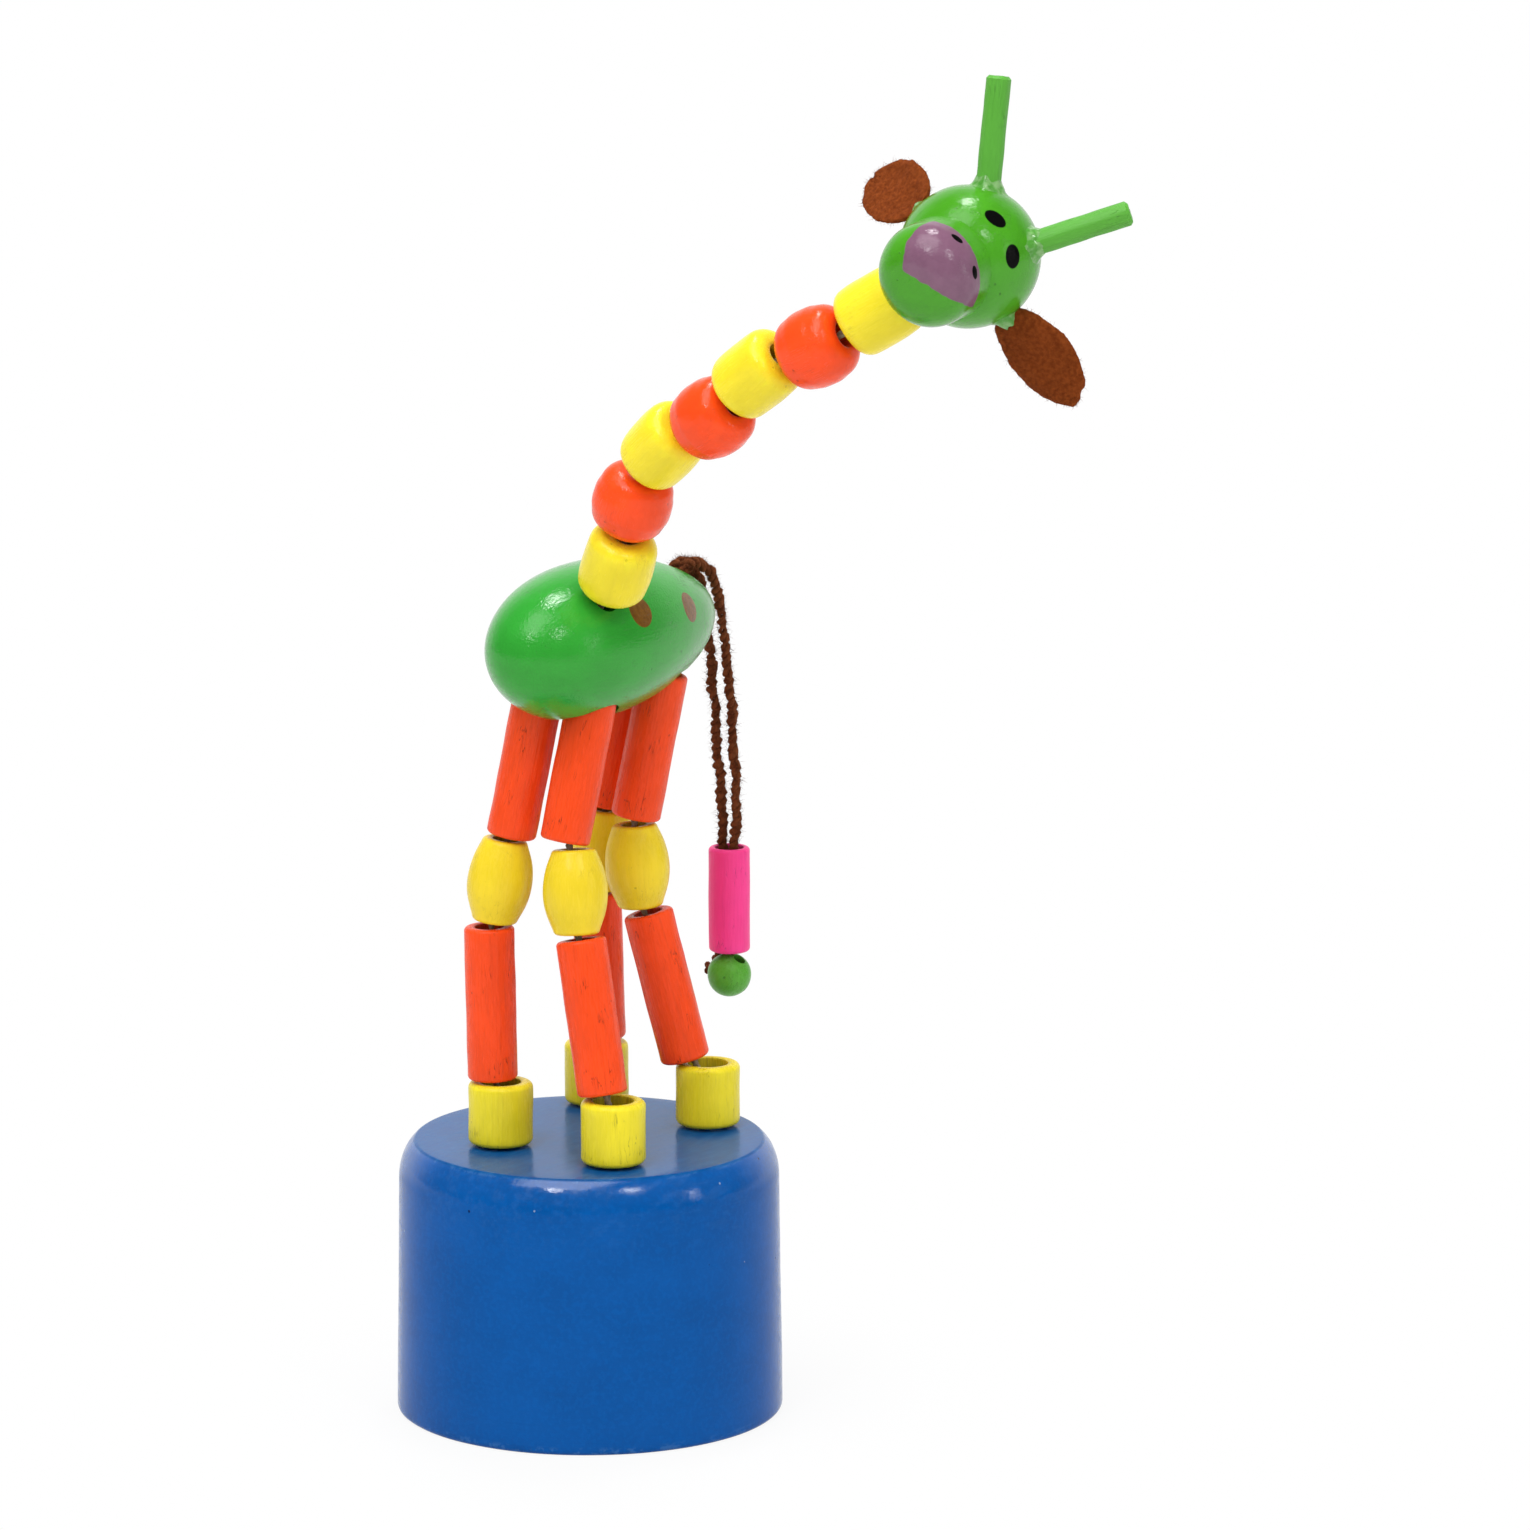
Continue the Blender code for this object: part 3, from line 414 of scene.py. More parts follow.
def set_glue(name):
    """Clear glue that has set over green paint."""
    paint = Paint(name, 0.12, 0.5)
    paint.set("Transmission Weight", 0.40)
    paint.set("IOR", 1.40)
    cloudy = paint.clouds((1100, 1100, 1100))
    paint.coat = paint.between(cloudy, 0.35, 0.7, (0.12, 0.46, 0.06), (0.36, 0.66, 0.26))
    paint.bump(cloudy, 0.00005, 0.4)
    return paint.finish()


# A paint's colour is followed by its grain, peel, roughness and specular level
MATERIALS = {
    "blue": drum_paint("blue_enamel", (0.000, 0.077, 0.312)),
    "foot": painted("yellow_feet", (0.82, 0.69, 0.020), 0.9),
    "knee": painted("yellow_knees", (0.84, 0.62, 0.020), 0.4),
    "neck_yellow": painted("yellow_neck", (0.90, 0.73, 0.022), 0.35, 1.0, 0.22, 0.30),
    "leg": painted("orange_legs", (0.90, 0.070, 0.010), 1.2, 0.4, 0.25, 0.18),
    "neck_orange": painted("orange_neck", (0.93, 0.070, 0.008), 0.3, 1.0, 0.18, 0.30),
    "horn": painted("green_horns", (0.100, 0.39, 0.040), 1.1, 0.3, 0.40),
    "ball": painted("green_ball", (0.100, 0.39, 0.038), 0.7),
    "pink": painted("pink_bead", (1.00, 0.052, 0.29), 0.7, 0.4, 0.38),
    "wood": bare_wood("bare_wood"),
    "steel": wire_steel("spring_steel"),
    "cord": spun("cotton_cord", (0.22, 0.17, 0.11), (0.40, 0.34, 0.25), 0.1),
    "yarn": spun("brown_yarn", (0.070, 0.018, 0.006), (0.165, 0.050, 0.018), 0.5),
    "felt": spun("brown_felt", (0.135, 0.025, 0.003), (0.215, 0.047, 0.008), 0.25, 1.7),
    "glue": set_glue("clear_glue"),
}


# Geometry

def rotation_to(direction):
    return UP.rotation_difference(direction).to_matrix().to_4x4()


def leaning(fold_degrees, across_degrees):
    fold = tan(radians(fold_degrees))
    across = tan(radians(across_degrees))
    return (FOLD_SIDE * fold + ACROSS * across + UP).normalized()


def arc(centre_r, centre_z, radius, start, end, steps):
    points = []
    for step in range(steps + 1):
        angle = radians(start + (end - start) * step / steps)
        points.append((centre_r + radius * cos(angle), centre_z + radius * sin(angle)))
    return points


def around(sides):
    """Angle and direction of each corner of a ring about Z."""
    for side in range(sides):
        angle = 2 * pi * side / sides
        yield angle, Vector((cos(angle), sin(angle), 0))


def turned(side, other, angle):
    return side * cos(angle) + other * sin(angle)


def uneven(point, seed, amount, size):
    """Small lump or hollow at a point, the same on every run."""
    return amount * noise.noise(point / size + Vector((seed * 7.3, seed * 3.1, seed * 5.7)))


def scattered(rng):
    return Vector((rng.gauss(0, 1), rng.gauss(0, 1), rng.gauss(0, 1))).normalized()


def smoothed(mesh, sharp=SHARP):
    mesh.shade_smooth()
    mesh.set_sharp_from_angle(angle=sharp)
    return mesh


def finish_mesh(bm, sharp=SHARP):
    bmesh.ops.recalc_face_normals(bm, faces=bm.faces)
    mesh = bpy.data.meshes.new("piece")
    bm.to_mesh(mesh)
    bm.free()
    return smoothed(mesh, sharp)


def bridge(bm, lower, upper):
    """Faces between two closed rings of as many corners, or between a ring and a single point."""
    sides = max(len(lower), len(upper))
    for side in range(sides):
        after = (side + 1) % sides
        corners = [lower[side % len(lower)], lower[after % len(lower)],
                   upper[after % len(upper)], upper[side % len(upper)]]
        bm.faces.new(list(dict.fromkeys(corners)))


def tube(bm, rings):
    """Faces through a row of rings, closed at both ends."""
    for lower, upper in zip(rings, rings[1:]):
        bridge(bm, lower, upper)
    bm.faces.new(list(reversed(rings[0])))
    bm.faces.new(rings[-1])


def turn(outline, sides, seed=0, lumps=0.0, size=0.002, ovality=0.0):
    """Turns a closed outline of (radius, height, rim, bored) points, slightly out of true."""
    bm = bmesh.new()
    rim_layer = bm.verts.layers.float.new("rim")
    bored_layer = bm.verts.layers.float.new("bored")
    rings = []
    for radius, height, rim, bored in outline:
        ring = []
        for angle, out in around(sides if radius > 0 else 1):
            spot = out * radius + UP * height
            if radius > 0 and not bored:
                oval = ovality * radius * cos(2 * angle + seed)
                spot += out * (uneven(spot, seed, lumps, size) + oval)
            vert = bm.verts.new(spot)
            vert[rim_layer] = rim
            vert[bored_layer] = bored
            ring.append(vert)
        rings.append(ring)
    for ring, following in zip(rings, rings[1:] + rings[:1]):
        if len(ring) > 1 or len(following) > 1:
            bridge(bm, ring, following)
    return finish_mesh(bm)


def plain(points):
    """Outline points without rubbed rim or bore."""
    return [(radius, height, 0, 0) for radius, height in points]


def flipped(outline, length):
    """The other end of a piece of this length whose two ends are alike."""
    return [(radius, length - height, rim, bored) for radius, height, rim, bored in reversed(outline)]


def rod(radius, low, high, matrix, sides=32):
    """A round solid and its place, to cut a hole with."""
    return turn(plain([(0, low), (radius, low), (radius, high), (0, high)]), sides), matrix


def add_object(name, data, matrix=Matrix.Identity(4)):
    item = bpy.data.objects.new(name, data)
    bpy.context.scene.collection.objects.link(item)
    item.matrix_world = matrix
    return item


def joined(mesh, matrix, tools, operation="DIFFERENCE"):
    """The mesh with (mesh, world matrix) solids taken out of it or added, still in its own frame."""
    worked = add_object("worked", mesh, matrix)
    made = [worked]
    for tool_mesh, tool_matrix in tools:
        tool = add_object("tool", tool_mesh, tool_matrix)
        made.append(tool)
        modifier = worked.modifiers.new("cut", "BOOLEAN")
        modifier.operation = operation
        modifier.object = tool
        modifier.solver = "EXACT"
    bpy.context.view_layer.update()
    depsgraph = bpy.context.evaluated_depsgraph_get()
    result = bpy.data.meshes.new_from_object(worked.evaluated_get(depsgraph))
    for item in made:
        bpy.data.objects.remove(item, do_unlink=True)
    return smoothed(result)


def link(name, mesh, material, matrix=Matrix.Identity(4)):
    """A new piece of one material in the scene."""
    mesh.name = name
    mesh.materials.append(MATERIALS[material])
    return add_object(name, mesh, matrix)


def show(name, mesh, material, matrix, body, node):
    """A new piece riding on a body, in the place of a CAD node where one is named."""
    piece = link(name, mesh, material, matrix)
    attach(piece, body)
    if node:
        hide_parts(node)
    return piece


def cad_middle(node):
    corners = [vert.co for vert in NODES[node].data.vertices]
    low = [min(corner[axis] for corner in corners) for axis in range(3)]
    high = [max(corner[axis] for corner in corners) for axis in range(3)]
    return (Vector(low) + Vector(high)) / 2


# The mouth of a bead's bore: its worn lip, its chamfer and the depth that is drawn fine; rows along a bead
LIP_WIDTH = 0.00025
LIP_CHAMFER = 0.00008
LIP_DEPTH = 0.0003
BEAD_STEPS = 16


def bead_outline(kind, power):
    """Fine outline of a bored bead from z = 0 to its length; a high power gives full shoulders."""
    length, belly, end, edge, bore = kind
    flat = end - edge
    lip = bore + LIP_WIDTH
    lower = [(bore, LIP_DEPTH, 0.0, 1.0), (bore + LIP_CHAMFER, LIP_CHAMFER, 0.6, 1.0),
             (lip, 0.0, 0.6, 0.4), ((lip + flat) / 2, 0.0, 0.2, 0.0)]
    lower += [(radius, height, 1.0, 0.0) for radius, height in arc(flat, edge, edge, -90, -8, 7)]
    upper = flipped(lower, length)
    for step in range(1, BEAD_STEPS):
        share = step / BEAD_STEPS
        bulge = 1 - abs(2 * share - 1) ** power
        near_end = max(0.0, 1 - min(share, 1 - share) * 9)
        lower.append((end + (belly - end) * bulge, edge + (length - 2 * edge) * share, near_end, 0.0))
    return lower + upper + [(bore, length / 2, 0.0, 1.0)]


class Strung(namedtuple("Strung", "start axis kind body")):
    """A bead in its place: its lower end, axis, kind and body."""

    @property
    def middle(self):
        return self.start + self.axis * self.kind.length / 2

    @property
    def top(self):
        return self.start + self.axis * self.kind.length


def bead(name, kind, axis, material, body, node, seed, power=2.0, lumps=0.00007):
    """A bored bead along an axis, centred where its CAD node is."""
    start = cad_middle(node) - axis * kind.length / 2
    matrix = Matrix.Translation(start) @ rotation_to(axis) @ Matrix.Rotation(seed * 1.7, 4, "Z")
    mesh = turn(bead_outline(kind, power), BEAD_SIDES, seed, lumps, size=0.0030, ovality=0.006)
    show(name, mesh, material, matrix, body, node)
    return Strung(start, axis, kind, body)


def smooth_route(points, steps):
    """Points read from a Catmull-Rom curve through the given points."""
    padded = [points[0] * 2 - points[1], *points, points[-1] * 2 - points[-2]]
    route = []
    for index in range(1, len(padded) - 2):
        before, start, end, after = padded[index - 1:index + 3]
        for step in range(steps):
            t = step / steps
            route.append(0.5 * (2 * start + (end - before) * t
                                + (2 * before - 5 * start + 4 * end - after) * t ** 2
                                + (3 * start - before - 3 * end + after) * t ** 3))
    route.append(points[-1])
    return route


def along_route(route):
    """Place, tangent, side and other side at each point of a route, turning as little as they can."""
    frames = []
    side = None
    for index, point in enumerate(route):
        tangent = (route[min(index + 1, len(route) - 1)] - route[max(index - 1, 0)]).normalized()
        if side is None:
            side = tangent.orthogonal()
        side = (side - tangent * side.dot(tangent)).normalized()
        frames.append((point, tangent, side, tangent.cross(side)))
    return frames


def ring_round(bm, point, side, other, radius, sides):
    angles = (2 * pi * step / sides for step in range(sides))
    return [bm.verts.new(point + turned(side, other, angle) * radius) for angle in angles]


def swept(routes, radius, sides, lumps=0.0):
    """Capped round tubes along routes, in one mesh; lumps is how uneven their thickness is."""
    bm = bmesh.new()
    for route in routes:
        rings = []
        for point, _, side, other in along_route(route):
            reach = radius * (1 + uneven(point, 3, lumps, 0.0009))
            rings.append(ring_round(bm, point, side, other, reach, sides))
        tube(bm, rings)
    return finish_mesh(bm, SOFT)


# Thickness of one ply as a share of a cord of two or three
PLY_SHARE = {2: 0.54, 3: 0.52}


def twisted(route, radius, plies, pitch, sides=8, lumps=0.0):
    """Plies of yarn or cord wound round each other along a route; radius is the whole cord's."""
    ply_radius = radius * PLY_SHARE[plies]
    travelled = 0.0
    lines = [[] for _ in range(plies)]
    for index, (point, _, side, other) in enumerate(along_route(route)):
        if index:
            travelled += (point - route[index - 1]).length
        for ply, line in enumerate(lines):
            angle = 2 * pi * (travelled / pitch + ply / plies)
            line.append(point + turned(side, other, angle) * (radius - ply_radius))
    return swept(lines, ply_radius, sides, lumps)


def hair(bm, root, direction, length, width, bend):
    """Adds one thin tapering fibre of three sides."""
    side = direction.orthogonal().normalized()
    other = direction.cross(side)
    bent = root + direction * length * 0.5 + bend * length * 0.25
    foot = ring_round(bm, root, side, other, width, 3)
    middle = ring_round(bm, bent, side, other, width * 0.7, 3)
    bridge(bm, foot, middle)
    bridge(bm, middle, [bm.verts.new(root + direction * length + bend * length)])
    bm.faces.new(list(reversed(foot)))


def knot_mesh(radius, cord):
    """An overhand knot drawn tight: a short cord wound through itself."""
    route = []
    for step in range(61):
        t = 2 * pi * step / 60
        spot = Vector((sin(t) + 2 * sin(2 * t), cos(t) - 2 * cos(2 * t),
                       -1.2 * sin(3 * t)))
        route.append(spot * (radius - cord) / 3.0)
    return swept([route], cord, 8)


# Base, thumb button and spring

# The drum's shoulder starts at this slope in degrees, so that its top has an edge, broken by this much
SHOULDER_START = 26
SHOULDER_STEPS = 14
EDGE_BREAK = 0.00022
KNOT_CORD = 0.00048


def make_base():
    top_radius = BASE_RADIUS - BASE_TAPER
    flat = top_radius - BASE_SHOULDER_INSET
    inner = BASE_RADIUS - BASE_WALL
    roof = BASE_HEIGHT - BASE_ROOF
    straight = BASE_HEIGHT - BASE_SHOULDER_DROP
    low = BASE_FOOT_ROUND
    outline = plain((flat * share, BASE_HEIGHT) for share in (0, 0.25, 0.5, 0.75, 0.92))
    outline += [(flat - EDGE_BREAK, BASE_HEIGHT, 0.4, 0),
                (flat - EDGE_BREAK * 0.35, BASE_HEIGHT - 0.00001, 1, 0)]
    start = radians(SHOULDER_START)
    edge = BASE_HEIGHT - EDGE_BREAK * 0.3
    for step in range(SHOULDER_STEPS + 1):
        angle = start + (pi / 2 - start) * step / SHOULDER_STEPS
        wide = (sin(angle) - sin(start)) / (1 - sin(start))
        deep = (cos(start) - cos(angle)) / cos(start)
        rim = 1.0 if step < 2 else 0.15
        outline.append((flat + BASE_SHOULDER_INSET * wide, edge - (edge - straight) * deep, rim, 0))
    for share in (0.2, 0.4, 0.6, 0.8, 0.98):
        outline.append((top_radius + BASE_TAPER * share, straight + (low - straight) * share, 0, 0))
    outline += [(*spot, 1.0, 0) for spot in arc(BASE_RADIUS - low, low, low, 0, -90, 6)]
    outline += [(inner, 0, 0.3, 0.6), (inner, 0.0005, 0, 1), (inner, roof, 0, 1), (0, roof, 0, 1)]
    holes = []
    for leg in LEGS.values():
        place = Matrix.Translation((*leg["foot"], 0))
        holes.append(rod(BASE_CORD_HOLE_RADIUS, roof - GAP, BASE_HEIGHT + GAP, place))
    mesh = joined(turn(outline, DRUM_SIDES, 1, lumps=0.00004, size=0.006), Matrix.Identity(4), holes)
    show("base_drum", mesh, "blue", Matrix.Identity(4), "base", "base")


def make_button():
    radius = BASE_RADIUS - BASE_WALL - BUTTON_CLEARANCE
    edge = BUTTON_EDGE_ROUND
    lower = plain([(0, 0), (radius * 0.5, 0), *arc(radius - edge, edge, edge, -90, 0, 5)])
    disc = turn(lower + flipped(lower, BUTTON_THICKNESS), FINE_SIDES, 2, lumps=0.00003, size=0.006)
    holes = []
    for name, leg in LEGS.items():
        place = Matrix.Translation(Vector((*leg["foot"], 0)) * BUTTON_CORD_SHARE)
        holes.append(rod(BUTTON_HOLE_RADIUS, -GAP, BUTTON_THICKNESS + GAP, place))
        holes.append(rod(BUTTON_POCKET_RADIUS, -GAP, BUTTON_POCKET_DEPTH, place))
        node = "cord_knot_" + name
        show("knot_" + name, knot_mesh(KNOT_RADIUS, KNOT_CORD), "cord",
             Matrix.Translation(cad_middle(node)), "button", node)
    show("thumb_disc", joined(disc, Matrix.Identity(4), holes), "wood",
         Matrix.Translation((0, 0, BUTTON_RECESS)), "button", "thumb_button")


def make_spring():
    low = BUTTON_RECESS + BUTTON_THICKNESS + SPRING_WIRE_RADIUS + GAP
    high = BASE_HEIGHT - BASE_ROOF - SPRING_WIRE_RADIUS - GAP
    route = []
    steps = SPRING_TURNS * 28
    for step in range(steps + 1):
        angle = 2 * pi * SPRING_TURNS * step / steps
        route.append(Vector((SPRING_COIL_RADIUS * cos(angle), SPRING_COIL_RADIUS * sin(angle),
                             low + (high - low) * step / steps)))
    spring = link("return_spring", swept([route], SPRING_WIRE_RADIUS, 10), "steel")
    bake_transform(spring)
    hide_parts("button_spring")


# Legs

# Piece, node and body names, kind, material and slot of a leg's beads from the foot up
LEG_ROWS = (("bead_foot_", "foot_", None, FOOT, "foot", "yellow_paint"),
            ("shin_bead_", "lower_leg_", "shin_", LOWER_LEG, "leg", "orange_paint"),
            ("knee_bead_", "knee_", "knee_", KNEE, "knee", "yellow_paint"),
            ("thigh_bead_", "upper_leg_", "thigh_", UPPER_LEG, "leg", "orange_paint"))


def make_legs():
    """Beads of every leg; returns each leg's beads, foot first."""
    stacks = {}
    for number, (name, leg) in enumerate(LEGS.items()):
        axes = [UP, *(leaning(lean, leg["across"]) for lean in leg["leans"])]
        stacks[name] = []
        for index, (piece, node, body, kind, paint, slot) in enumerate(LEG_ROWS):
            body = body + name if body else "base"
            stacks[name].append(bead(piece + name, kind, axes[index], paint, body, node + name,
                                     10 * (number + 1) + index))
    return stacks


# How far on each side of a joint a cord bends, and the length of one turn of its plies
CORD_BEND = 0.0012
CORD_TWIST = 0.0030


def cord_span(name, route, bodies, node, start=None):
    """One stretch of cord: rides on one body, or, when a start is given, spans two and rides on neither."""
    piece = link(name, twisted(smooth_route(route, 6), CORD_RADIUS, 3, CORD_TWIST), "cord")
    if start is None:
        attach(piece, bodies[0])
    else:
        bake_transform(piece)
    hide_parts(node)


def string_beads(prefix, suffix, stack, node):
    """Cord from the middle of each bead of a stack to the middle of the next."""
    for index, (low, high) in enumerate(zip(stack, stack[1:])):
        room = low.kind.bore - CORD_RADIUS
        upper_room = high.kind.bore - CORD_RADIUS
        crossing = low.top.lerp(high.start, room / (room + upper_room))
        cord_span("%s%d%s" % (prefix, index + 1, suffix), [low.middle, crossing, high.middle],
                  (low.body, high.body), node, crossing - low.axis * CORD_BEND)


def make_leg_cords(stacks):
    for name, stack in stacks.items():
        node = "leg_cord_" + name
        hole = Vector((*LEGS[name]["foot"], 0))
        low = hole * BUTTON_CORD_SHARE + UP * (BUTTON_RECESS + BUTTON_POCKET_DEPTH)
        roof = hole + UP * (BASE_HEIGHT - BASE_ROOF - GAP)
        entry = hole + UP * (BASE_HEIGHT + GAP)
        cord_span("cord_base_" + name, [low, low.lerp(roof, 0.2), roof, entry, stack[0].middle],
                  ("button", "base"), node, low.lerp(roof, 0.1))
        string_beads("cord_", "_" + name, stack, node)
        thigh = stack[-1]
        top = thigh.top
        end = top + UP * (HIP_BORE_DEPTH - 2 * GAP)
        if name == BODY_LEG:
            cord_span("cord_hip_" + name, [thigh.middle, top, end], (thigh.body, "torso"), node,
                      top - thigh.axis * CORD_BEND)
        else:
            # no joint of the record ties these thighs to the torso, so the cord is cut at the bead's rim
            cord_span("cord_thigh_" + name, [thigh.middle, top + thigh.axis * GAP / 2], (thigh.body,), node)
            cord_span("cord_hip_" + name, [top, end], ("torso",), node)


# Body

def egg_radius(along):
    share = max(-1.0, min(1.0, along / BODY_HALF_LENGTH))
    return BODY_RADIUS * sqrt(1 - share ** 2) * (1 - BODY_TAPER * share)


def egg_steps(steps):
    """Places along the egg, denser towards its ends, rear end first."""
    return [BODY_HALF_LENGTH * cos(pi * step / steps) for step in range(1, steps)]


def body_middle():
    top = max(vert.co.z for vert in NODES["body"].data.vertices)
    widest = max(egg_radius(along) for along in egg_steps(BODY_RINGS))
    return Vector((BODY_X, BODY_Y, top - widest))


def body_surface(along, roll, centre):
    step = BODY_HALF_LENGTH * 0.01
    slope = (egg_radius(along + step) - egg_radius(along - step)) / (2 * step)
    ray = Vector((sin(roll), 0, cos(roll)))
    point = centre + Vector((0, along, 0)) + ray * egg_radius(along)
    return point, (ray - Vector((0, slope, 0))).normalized()


# Painted spots: distance along the egg, roll from its top in degrees, radius
SPOTS = ((-0.00516, 62, 0.0019), (0.00608, 68.4, 0.0018), (-0.0046, -60, 0.0019), (0.0064, -66, 0.0018))
EGG_TURN = Matrix.Rotation(-pi / 2, 4, "X")


def spot_stamps(paint):
    brushed = paint.clouds((900, 900, 1900), 2.0)
    brown = paint.between(brushed, 0.35, 0.65, (0.140, 0.056, 0.005), (0.185, 0.078, 0.009))
    to_egg = EGG_TURN.inverted()
    for along, roll, radius in SPOTS:
        point, normal = body_surface(along, radians(roll), Vector())
        paint.lay(paint.oval(to_egg @ point, to_egg @ normal, UP, radius, radius, 0.07), brown)


def make_body(stacks):
    centre = body_middle()
    outline = plain([(0, BODY_HALF_LENGTH), *((egg_radius(along), along) for along in egg_steps(56)),
                     (0, -BODY_HALF_LENGTH)])
    matrix = Matrix.Translation(centre) @ EGG_TURN
    holes = []
    for *_, thigh in stacks.values():
        for shift in (0, HIP_SEAT_ROOM):
            stance = Matrix.Translation(thigh.top + FOLD_SIDE * shift) @ rotation_to(thigh.axis)
            holes.append(rod(thigh.kind.end + GAP, -BODY_RADIUS, HIP_SEAT_GAP, stance, 64))
        holes.append(rod(HIP_BORE_RADIUS, -BODY_RADIUS, HIP_BORE_DEPTH, Matrix.Translation(thigh.top)))
    seat, normal = body_surface(-NECK_SEAT_FORWARD, NECK_SEAT_ROLL, centre)
    rump, rump_normal = body_surface(TAIL_HOLE_BACK, 0.0, centre)
    holes.append(rod(NECK_HOLE_RADIUS, -NECK_HOLE_DEPTH, BODY_RADIUS,
                     Matrix.Translation(seat) @ rotation_to(normal)))
    holes.append(rod(TAIL_HOLE_RADIUS, -TAIL_HOLE_DEPTH, BODY_RADIUS,
                     Matrix.Translation(rump) @ rotation_to(rump_normal)))
    mesh = joined(turn(outline, FINE_SIDES, 3, lumps=0.00006, size=0.005), matrix, holes)
    MATERIALS["body"] = painted("green_body", (0.028, 0.325, 0.030), 0.3, 1.2, 0.14, 0.34, spot_stamps)
    show("egg_body", mesh, "body", matrix, "torso", "body")
    return {"seat": seat, "normal": normal, "rump": rump}


# Neck

def neck_axis(index):
    heading, lean = radians(NECK_HEADINGS[index]), radians(NECK_LEANS[index])
    return Vector((cos(heading) * sin(lean), sin(heading) * sin(lean), cos(lean)))


def make_neck():
    stack = []
    for index in range(len(NECK_LEANS)):
        colour, kind, power = (("yellow", YELLOW, 2.6), ("orange", ORANGE, 3.0))[index % 2]
        number = "_%d" % (index + 1)
        stack.append(bead("neck_" + colour + number, kind, neck_axis(index), "neck_" + colour,
                          "neck" + number, "neck_bead" + number, 60 + index,
                          power, lumps=0.00010))
    return stack


def make_neck_cord(stack, body):
    node = "neck_cord"
    deep = body["seat"] - body["normal"] * (NECK_HOLE_DEPTH - 2 * GAP)
    first, last = stack[0], stack[-1]
    cord_span("cord_neck", [deep, body["seat"], first.start, first.middle], ("torso", first.body), node,
              body["seat"])
    string_beads("cord_neck_", "", stack, node)
    end = last.top + last.axis * (HEAD_BORE_DEPTH - 2 * GAP)
    cord_span("cord_head", [last.middle, last.top, end], (last.body,), node)


# Head

def head_frame(last):
    """The ball's middle, where it rests in the rim of the neck's last bead."""
    edge = last.kind.edge
    flat = last.kind.end - edge
    lift = sqrt((HEAD_RADIUS + edge + GAP) ** 2 - flat ** 2) - edge
    return (Matrix.Translation(last.top) @ rotation_to(last.axis)
            @ Matrix.Rotation(HEAD_TURN, 4, "Z") @ Matrix.Translation((0, 0, lift)))


def on_ball(direction):
    return Vector(direction).normalized() * HEAD_RADIUS


# Painted face. Eyes: direction from the ball's middle, long axis, half axes, in the head's frame
EYES = (((-0.227, -0.581, 0.782), (2.42, 0.41, 1.02), 0.00133, 0.00090),
        ((0.345, -0.589, 0.730), (2.38, -0.11, -1.20), 0.00133, 0.00095))
# Nostrils: place, long axis and half axes in the snout's frame, Z out of the face, Y to the forehead
NOSTRILS = (((-0.00171, 0.00545, 0.00897), (1.42, 0.52, -0.33), 0.00075, 0.00033),
            ((0.00240, 0.00518, 0.00886), (1.29, -0.61, 0.16), 0.00072, 0.00034))
NOSTRILS_FACE = (0, 0.75, 0.66)
# The muzzle's colour ends at two planes through the snout, each a normal and a distance
MUZZLE_PLANES = (((-0.641, 1, -0.442), 0.00482), ((0.546, 1, 0.356), -0.00347))
MUZZLE_START = 0.0079
MUZZLE_BLUR = 0.00012


def face_stamps(paint):
    ink = [paint.oval(on_ball(direction), direction, *shape, 0.10) for direction, *shape in EYES]
    out = SNOUT_TURN @ Vector(NOSTRILS_FACE)
    for place, along, *halves in NOSTRILS:
        ink.append(paint.oval(SNOUT_TURN @ Vector(place), out, SNOUT_TURN @ Vector(along), *halves, 0.18))
    # where purple ends, the brush left a slightly wavy edge
    wave = paint.times(paint.math("SUBTRACT", paint.clouds((700, 700, 700), 1.0), 0.5), 0.0006)
    turn_only = SNOUT_TURN.to_3x3()
    sides = []
    for normal, shift in MUZZLE_PLANES:
        sides.append(paint.math("ADD", paint.along(turn_only @ Vector(normal)), shift))
    lower = paint.math("ADD", paint.math("SMOOTH_MIN", *sides, 0.0010), wave)
    ahead = paint.math("ADD", paint.along(turn_only @ UP), wave)
    mask = paint.times(paint.ramp(lower, -MUZZLE_BLUR, MUZZLE_BLUR),
                       paint.ramp(ahead, MUZZLE_START - MUZZLE_BLUR, MUZZLE_START + MUZZLE_BLUR))
    brushed = paint.clouds((900, 900, 900), 2.0)
    paint.lay(mask, paint.between(brushed, 0.35, 0.65, (0.185, 0.086, 0.140), (0.200, 0.095, 0.152)))
    inked = ink[0]
    for spot in ink[1:]:
        inked = paint.math("MAXIMUM", inked, spot)
    gloss = paint.shader["Specular IOR Level"].default_value
    paint.set("Specular IOR Level", paint.ramp(inked, 0, 1, gloss, 0.05))
    paint.lay(inked, INK)


def planted(centre, limb, depth):
    """Frame of a horn or ear: its foot on the ball or below it, Z along it."""
    return (centre @ Matrix.Translation(on_ball(limb["seat"]))
            @ rotation_to(Vector(limb["points"]).normalized()) @ Matrix.Translation((0, 0, -depth)))


# A horn's rows along it, the angle of one hand-cut facet, and the round and faceted shares of its section
HORN_ROWS = 24
HORN_FACET = 2 * pi / 9
HORN_ROUND = 0.45
HORN_FLAT = 0.55


